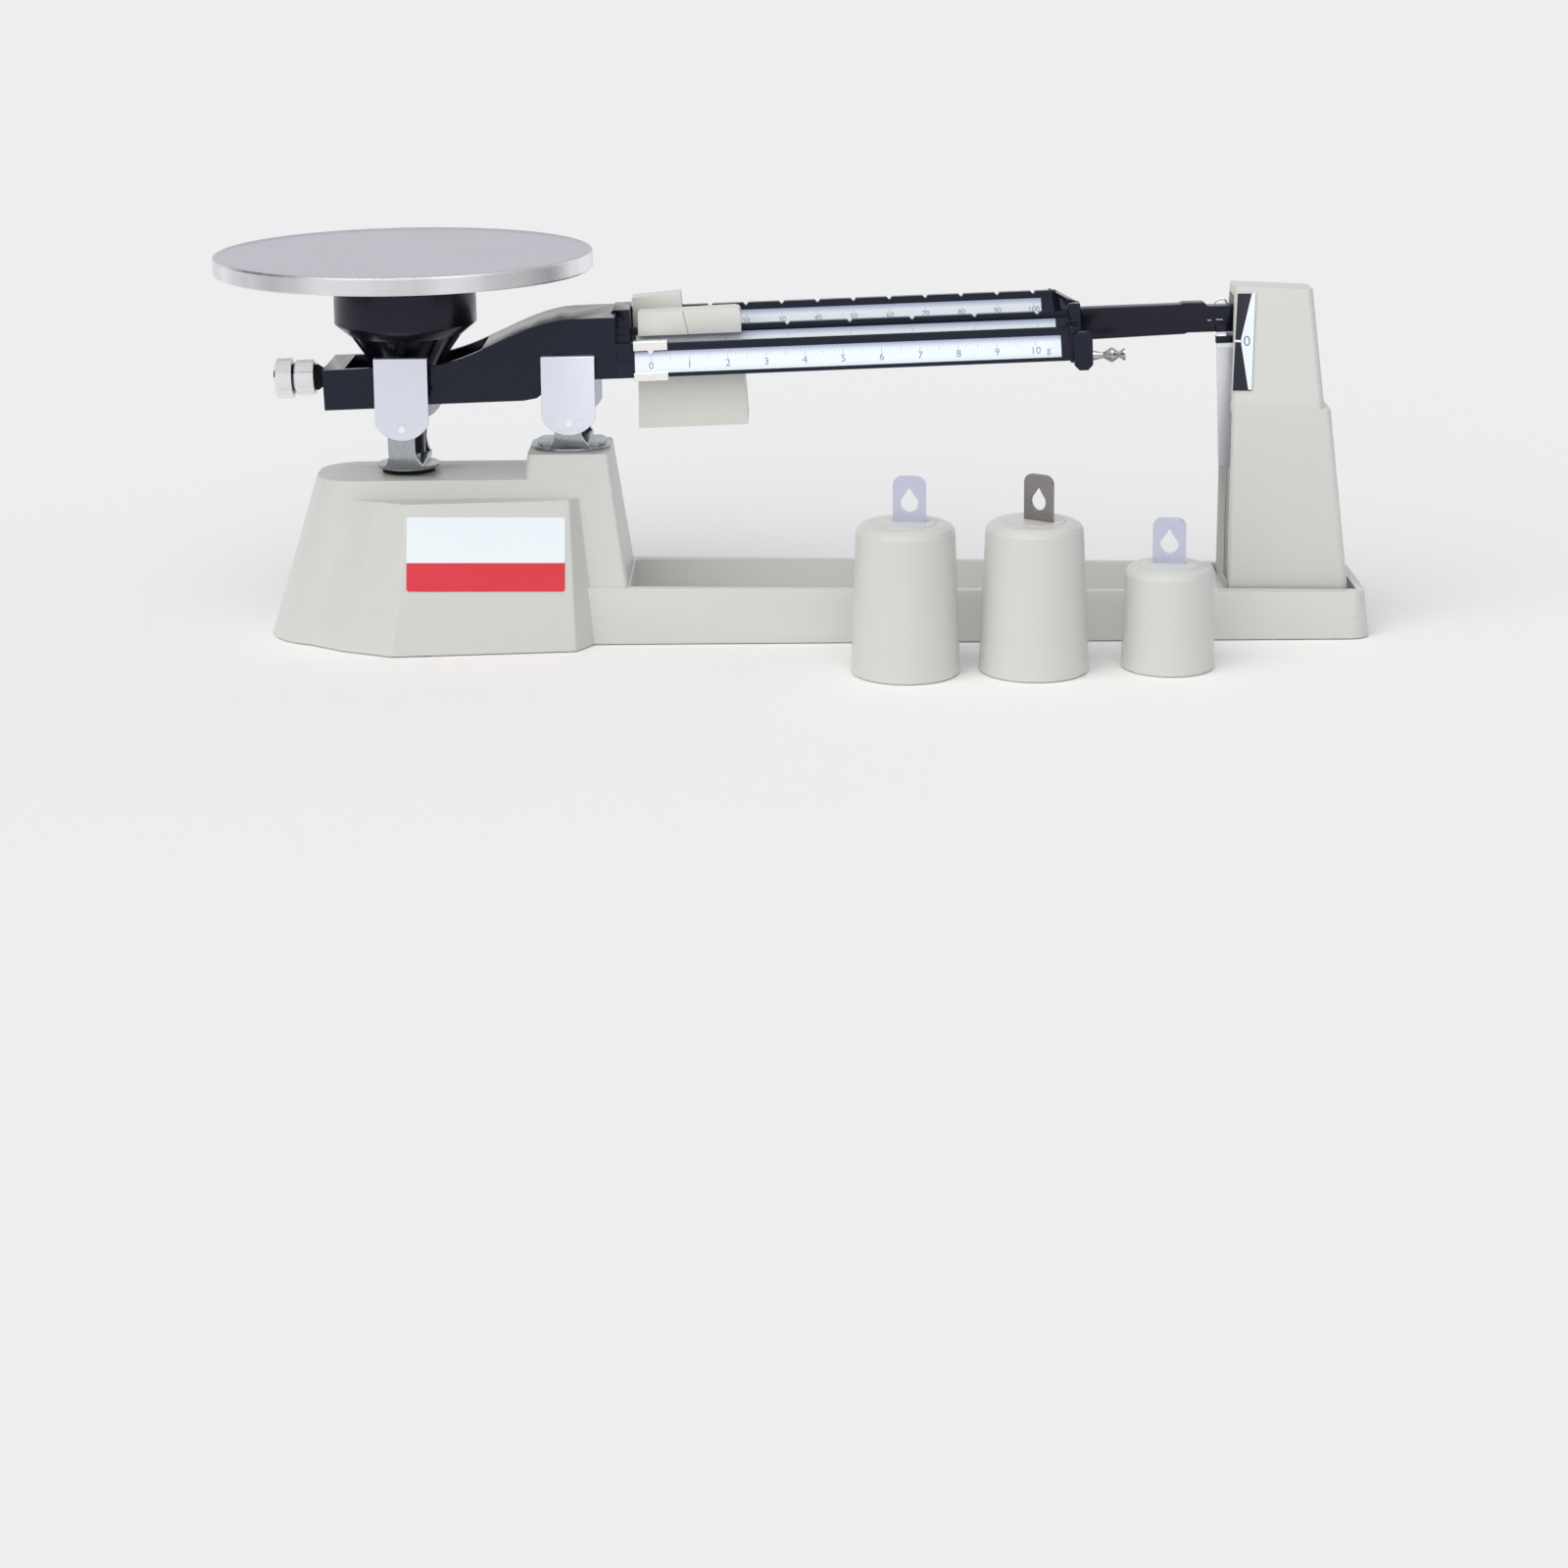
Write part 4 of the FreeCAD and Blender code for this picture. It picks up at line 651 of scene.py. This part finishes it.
def poise_seam():
    """Dark line down the middle poise's plate along its small step: a painted shadow of the step."""
    bm = bmesh.new()
    near = [bm.verts.new(on_beam(x, POISE_FRONT - 0.04 * MM, z)) for x, z in SEAM_CORNERS]
    far = [bm.verts.new(on_beam(x, POISE_FRONT + 0.5 * MM, z)) for x, z in SEAM_CORNERS]
    bm.faces.new(near)
    bm.faces.new(far[::-1])
    for i in range(4):
        j = (i + 1) % 4
        bm.faces.new((near[i], near[j], far[j], far[i]))
    finish_piece(bm, "poise_seam", SEAM_SHADOW, "poise_middle", smooth=False)


BLADE_TOP = 0.11125
ARM_UNDERSIDE = 0.1126


def bright_leg():
    """The bit of sheet seen between the index blade and the arm is left bright."""
    mesh = bpy.data.objects["look_pointer"].data
    mesh.materials.append(VANE)
    upward = on_beam(0.0, 0.0, 1.0) - on_beam(0.0, 0.0, 0.0)
    bm = bmesh.new()
    bm.from_mesh(mesh)
    for level in (BLADE_TOP, ARM_UNDERSIDE):
        cut = bm.verts[:] + bm.edges[:] + bm.faces[:]
        bmesh.ops.bisect_plane(bm, geom=cut, plane_co=on_beam(0.0, 0.0, level), plane_no=upward)
    for face in bm.faces:
        height = (face.calc_center_median() - on_beam(0.0, 0.0, 0.0)).dot(upward)
        if BLADE_TOP < height < ARM_UNDERSIDE:
            face.material_index = 1
    bm.to_mesh(mesh)
    bm.free()


FLASH_X = (0.2620, 0.2688)
FLASH_Y = (-0.0056, -0.0034)
FLASH_Z = (0.1064, 0.1084)


def pointer_flash():
    """White underside strip of the index blade."""
    bm = bmesh.new()
    (x0, x1), (y0, y1) = FLASH_X, FLASH_Y
    plan = ((x0, y0), (x1, y0), (x1, y1), (x0, y1))
    corners = [on_beam(x, y, z) for z in FLASH_Z for x, y in plan]
    verts = [bm.verts.new(c) for c in corners]
    for face in ((3, 2, 1, 0), (4, 5, 6, 7), (0, 1, 5, 4), (1, 2, 6, 5), (2, 3, 7, 6), (3, 0, 4, 7)):
        bm.faces.new([verts[i] for i in face])
    bmesh.ops.bevel(bm, geom=bm.edges, offset=0.2 * MM, segments=2, affect="EDGES")
    finish_piece(bm, "pointer_flash", WHITE, "beam")


# Knurled zero nuts

def lathe(bm, profile, steps):
    """Closed body turned about the Z axis from (radius, z) pairs, poles first and last."""
    rings = []
    for radius, z in profile:
        if radius == 0:
            rings.append([bm.verts.new((0, 0, z))])
            continue
        ring = []
        for k in range(steps):
            angle = 2 * math.pi * k / steps
            ring.append(bm.verts.new((radius * math.cos(angle), radius * math.sin(angle), z)))
        rings.append(ring)
    for lower, upper in zip(rings, rings[1:]):
        for k in range(steps):
            j = (k + 1) % steps
            corners = [lower[k % len(lower)], lower[j % len(lower)],
                       upper[j % len(upper)], upper[k % len(upper)]]
            unique = list(dict.fromkeys(corners))
            if len(unique) > 2:
                bm.faces.new(unique)


NUT_AXIS_Z = 0.1083
TURN_STEPS = 72


def along_beam_axis(x):
    """Matrix that lays a body turned about Z along the beam, its foot at x."""
    made = Matrix.Rotation(math.radians(90) - BEAM_RISE, 4, "Y")
    made.translation = on_beam(x, 0.0, NUT_AXIS_Z)
    return made


def knurled_nut(node, x0, x1, radius, count, ridge):
    """Turned nut with a hub face, chamfers, a groove in its end face and a knurled band."""
    length = x1 - x0
    flat = radius - ridge * 0.6
    profile = [(0, 0.25 * MM), (2.6 * MM, 0.25 * MM), (2.8 * MM, 0), (radius * 0.62, 0),
               (radius * 0.66, 0.3 * MM), (radius * 0.8, 0.3 * MM), (radius * 0.84, 0),
               (flat - 0.7 * MM, 0), (flat, 0.7 * MM), (flat, length - 0.7 * MM),
               (flat - 0.7 * MM, length), (radius * 0.5, length), (0, length)]
    bm = bmesh.new()
    lathe(bm, profile, TURN_STEPS)
    mesh = grown(RIDGE_RING, CHROME, Count=count, Ring_Radius=flat, Ridge_Radius=ridge,
                 Length=length - 1.7 * MM)
    mesh.transform(Matrix.Translation((0, 0, length / 2)))
    bm.from_mesh(mesh)
    bpy.data.meshes.remove(mesh)
    bm.transform(along_beam_axis(x0))
    nut = finish_piece(bm, "look_" + node, CHROME, body_name(node))
    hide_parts(node)


# The object

EASED = {
    "base_casting": 0.0012, "tower": 0.0012, "beam_casting": 0.0011, "fulcrum_cover_front": 0.0003,
    "fulcrum_cover_rear": 0.0003, "hanger_cover_front": 0.0003, "hanger_cover_rear": 0.0003,
    "middle_poise": 0.0008, "rear_poise": 0.0006, "front_poise": 0.0004, "hanger_block": 0.0009,
    "pointer_arm": 0.0005, "end_frame": 0.0006, "fulcrum_yoke": 0.0003, "hanger_yoke": 0.0003,
    "weight_left_cap": 0.0002, "weight_centre_cap": 0.0002, "weight_right_cap": 0.0002,
    "dial_plate": 0.00015, "damper_vane": 0.0003, "magnet_holder": 0.0003, "pan_support": 0.0008,
    "stem_nut": 0.0004, "pointer": 0.0003, "check_link": 0.0004, "link_bracket": 0.0004,
}
for node, width in EASED.items():
    eased(node, width)
bright_leg()
poise_seam()

facets = scale_facets()
printed_strips(facets)
scale_marks(facets)
dial_face()
name_panel_face()
arm_marks()
pointer_flash()
knurled_nut("balance_nut", x0=-0.11175, x1=-0.1031, radius=0.00715, count=60, ridge=0.00022)
knurled_nut("lock_nut", x0=-0.1197, x1=-0.11185, radius=0.00805, count=60, ridge=0.00028)


# Floor, light and camera

BACKGROUND = 0.855
FLOOR_COLOUR = (0.973, 0.958, 0.940)
FLOOR_SPAN = 20.0
SKY_COLOUR = (0.92, 0.965, 1.04)
SKY_LEVEL = 0.52
KEY_LEVEL = 1.76
KEY_ANGLE = math.radians(75)
KEY_COLOUR = (1.0, 0.985, 0.95)
KEY_TOWARD = Vector((0.34, 0.62, -0.71))


def studio():
    """Even light from all round, and a backdrop as pale as the floor."""
    world = bpy.data.worlds.new("studio")
    bpy.context.scene.world = world
    world.use_nodes = True
    tree = world.node_tree
    tree.nodes.clear()
    out = tree.nodes.new("ShaderNodeOutputWorld")
    sky = tree.nodes.new("ShaderNodeBackground")
    sky.inputs["Color"].default_value = (*SKY_COLOUR, 1)
    sky.inputs["Strength"].default_value = SKY_LEVEL
    drop = tree.nodes.new("ShaderNodeBackground")
    drop.inputs["Color"].default_value = (BACKGROUND, BACKGROUND, BACKGROUND, 1)
    path = tree.nodes.new("ShaderNodeLightPath")
    mix = tree.nodes.new("ShaderNodeMixShader")
    seen = path.outputs["Is Camera Ray"]
    for ray in ("Is Glossy Ray", "Is Transmission Ray"):
        both = tree.nodes.new("ShaderNodeMath")
        both.operation = "MAXIMUM"
        tree.links.new(seen, both.inputs[0])
        tree.links.new(path.outputs[ray], both.inputs[1])
        seen = both.outputs[0]
    tree.links.new(seen, mix.inputs["Fac"])
    tree.links.new(sky.outputs[0], mix.inputs[1])
    tree.links.new(drop.outputs[0], mix.inputs[2])
    tree.links.new(mix.outputs[0], out.inputs["Surface"])

    s = Shader("floor_paper", FLOOR_COLOUR, 0.0, 0.9)
    s.set("Specular IOR Level", 0.0)
    span = FLOOR_SPAN
    corners = [(-span, -span, 0), (span, -span, 0), (span, span, 0), (-span, span, 0)]
    floor = plain_card("floor", corners, s.mat)


def plain_card(name, corners, material):
    mesh = bpy.data.meshes.new(name)
    mesh.from_pydata(corners, [], [(0, 1, 2, 3)])
    mesh.materials.append(material)
    return new_object(name, mesh)


def dark_cards():
    """Dark cards that only mirrors see, so that bright metal has an edge to it."""
    s = Shader("card_grey", (0.05, 0.05, 0.055), 0.0, 0.9)
    s.set("Specular IOR Level", 0.0)
    cards = {
        "card_left": [(-1.6, -1.4, 0.1), (-1.6, 0.6, 0.1), (-1.6, 0.6, 0.9), (-1.6, -1.4, 0.9)],
        "card_right": [(1.8, -1.4, 0.1), (1.8, 0.6, 0.1), (1.8, 0.6, 0.7), (1.8, -1.4, 0.7)],
    }
    for name, corners in cards.items():
        card = plain_card(name, corners, s.mat)
        card.visible_camera = False
        card.visible_diffuse = False
        card.visible_shadow = False


SOFTBOX_LEVEL = 8.0


def softbox():
    """A bright panel overhead that only glossy surfaces see: it draws their rounded edges."""
    mat = bpy.data.materials.new("softbox")
    mat.use_nodes = True
    tree = mat.node_tree
    tree.nodes.clear()
    out = tree.nodes.new("ShaderNodeOutputMaterial")
    glow = tree.nodes.new("ShaderNodeEmission")
    glow.inputs["Strength"].default_value = SOFTBOX_LEVEL
    tree.links.new(glow.outputs[0], out.inputs["Surface"])
    corners = [(-1.0, -1.15, 1.5), (1.0, -1.15, 1.5), (1.0, -0.25, 1.5), (-1.0, -0.25, 1.5)]
    card = plain_card("softbox", corners, mat)
    card.visible_camera = False
    card.visible_diffuse = False
    card.visible_shadow = False


def key_light():
    data = bpy.data.lights.new("key", "SUN")
    data.energy = KEY_LEVEL
    data.angle = KEY_ANGLE
    data.color = KEY_COLOUR
    light = new_object("key", data)
    light.visible_glossy = False
    light.rotation_mode = "QUATERNION"
    light.rotation_quaternion = KEY_TOWARD.to_track_quat("-Z", "Y")


CAMERA_PLACE = (0.09224, -1.27427, 0.32667)
CAMERA_AZIMUTH = math.radians(0.2577)
CAMERA_PITCH = math.radians(11.1786)
CAMERA_ROLL = math.radians(-0.4965)
CAMERA_LENS = 73.05
CAMERA_SHIFT = -0.2156


def camera():
    """The lens and standpoint that were fitted to the photograph."""
    azimuth, pitch, roll = CAMERA_AZIMUTH, CAMERA_PITCH, CAMERA_ROLL
    right = Vector((math.cos(azimuth), math.sin(azimuth), 0))
    back = Vector((math.sin(azimuth) * math.cos(pitch), -math.cos(azimuth) * math.cos(pitch),
                   math.sin(pitch)))
    up = back.cross(right)
    rolled_right = right * math.cos(roll) + up * math.sin(roll)
    rolled_up = up * math.cos(roll) - right * math.sin(roll)
    data = bpy.data.cameras.new("camera")
    data.sensor_width = 36.0
    data.lens = CAMERA_LENS
    data.shift_y = CAMERA_SHIFT
    data.clip_start = 0.05
    data.clip_end = 60.0
    cam = new_object("camera", data)
    cam.matrix_world = Matrix((rolled_right, rolled_up, back)).transposed().to_4x4()
    cam.location = CAMERA_PLACE
    bpy.context.scene.camera = cam


studio()
dark_cards()
softbox()
key_light()
camera()
bpy.context.scene.view_settings.view_transform = "Standard"
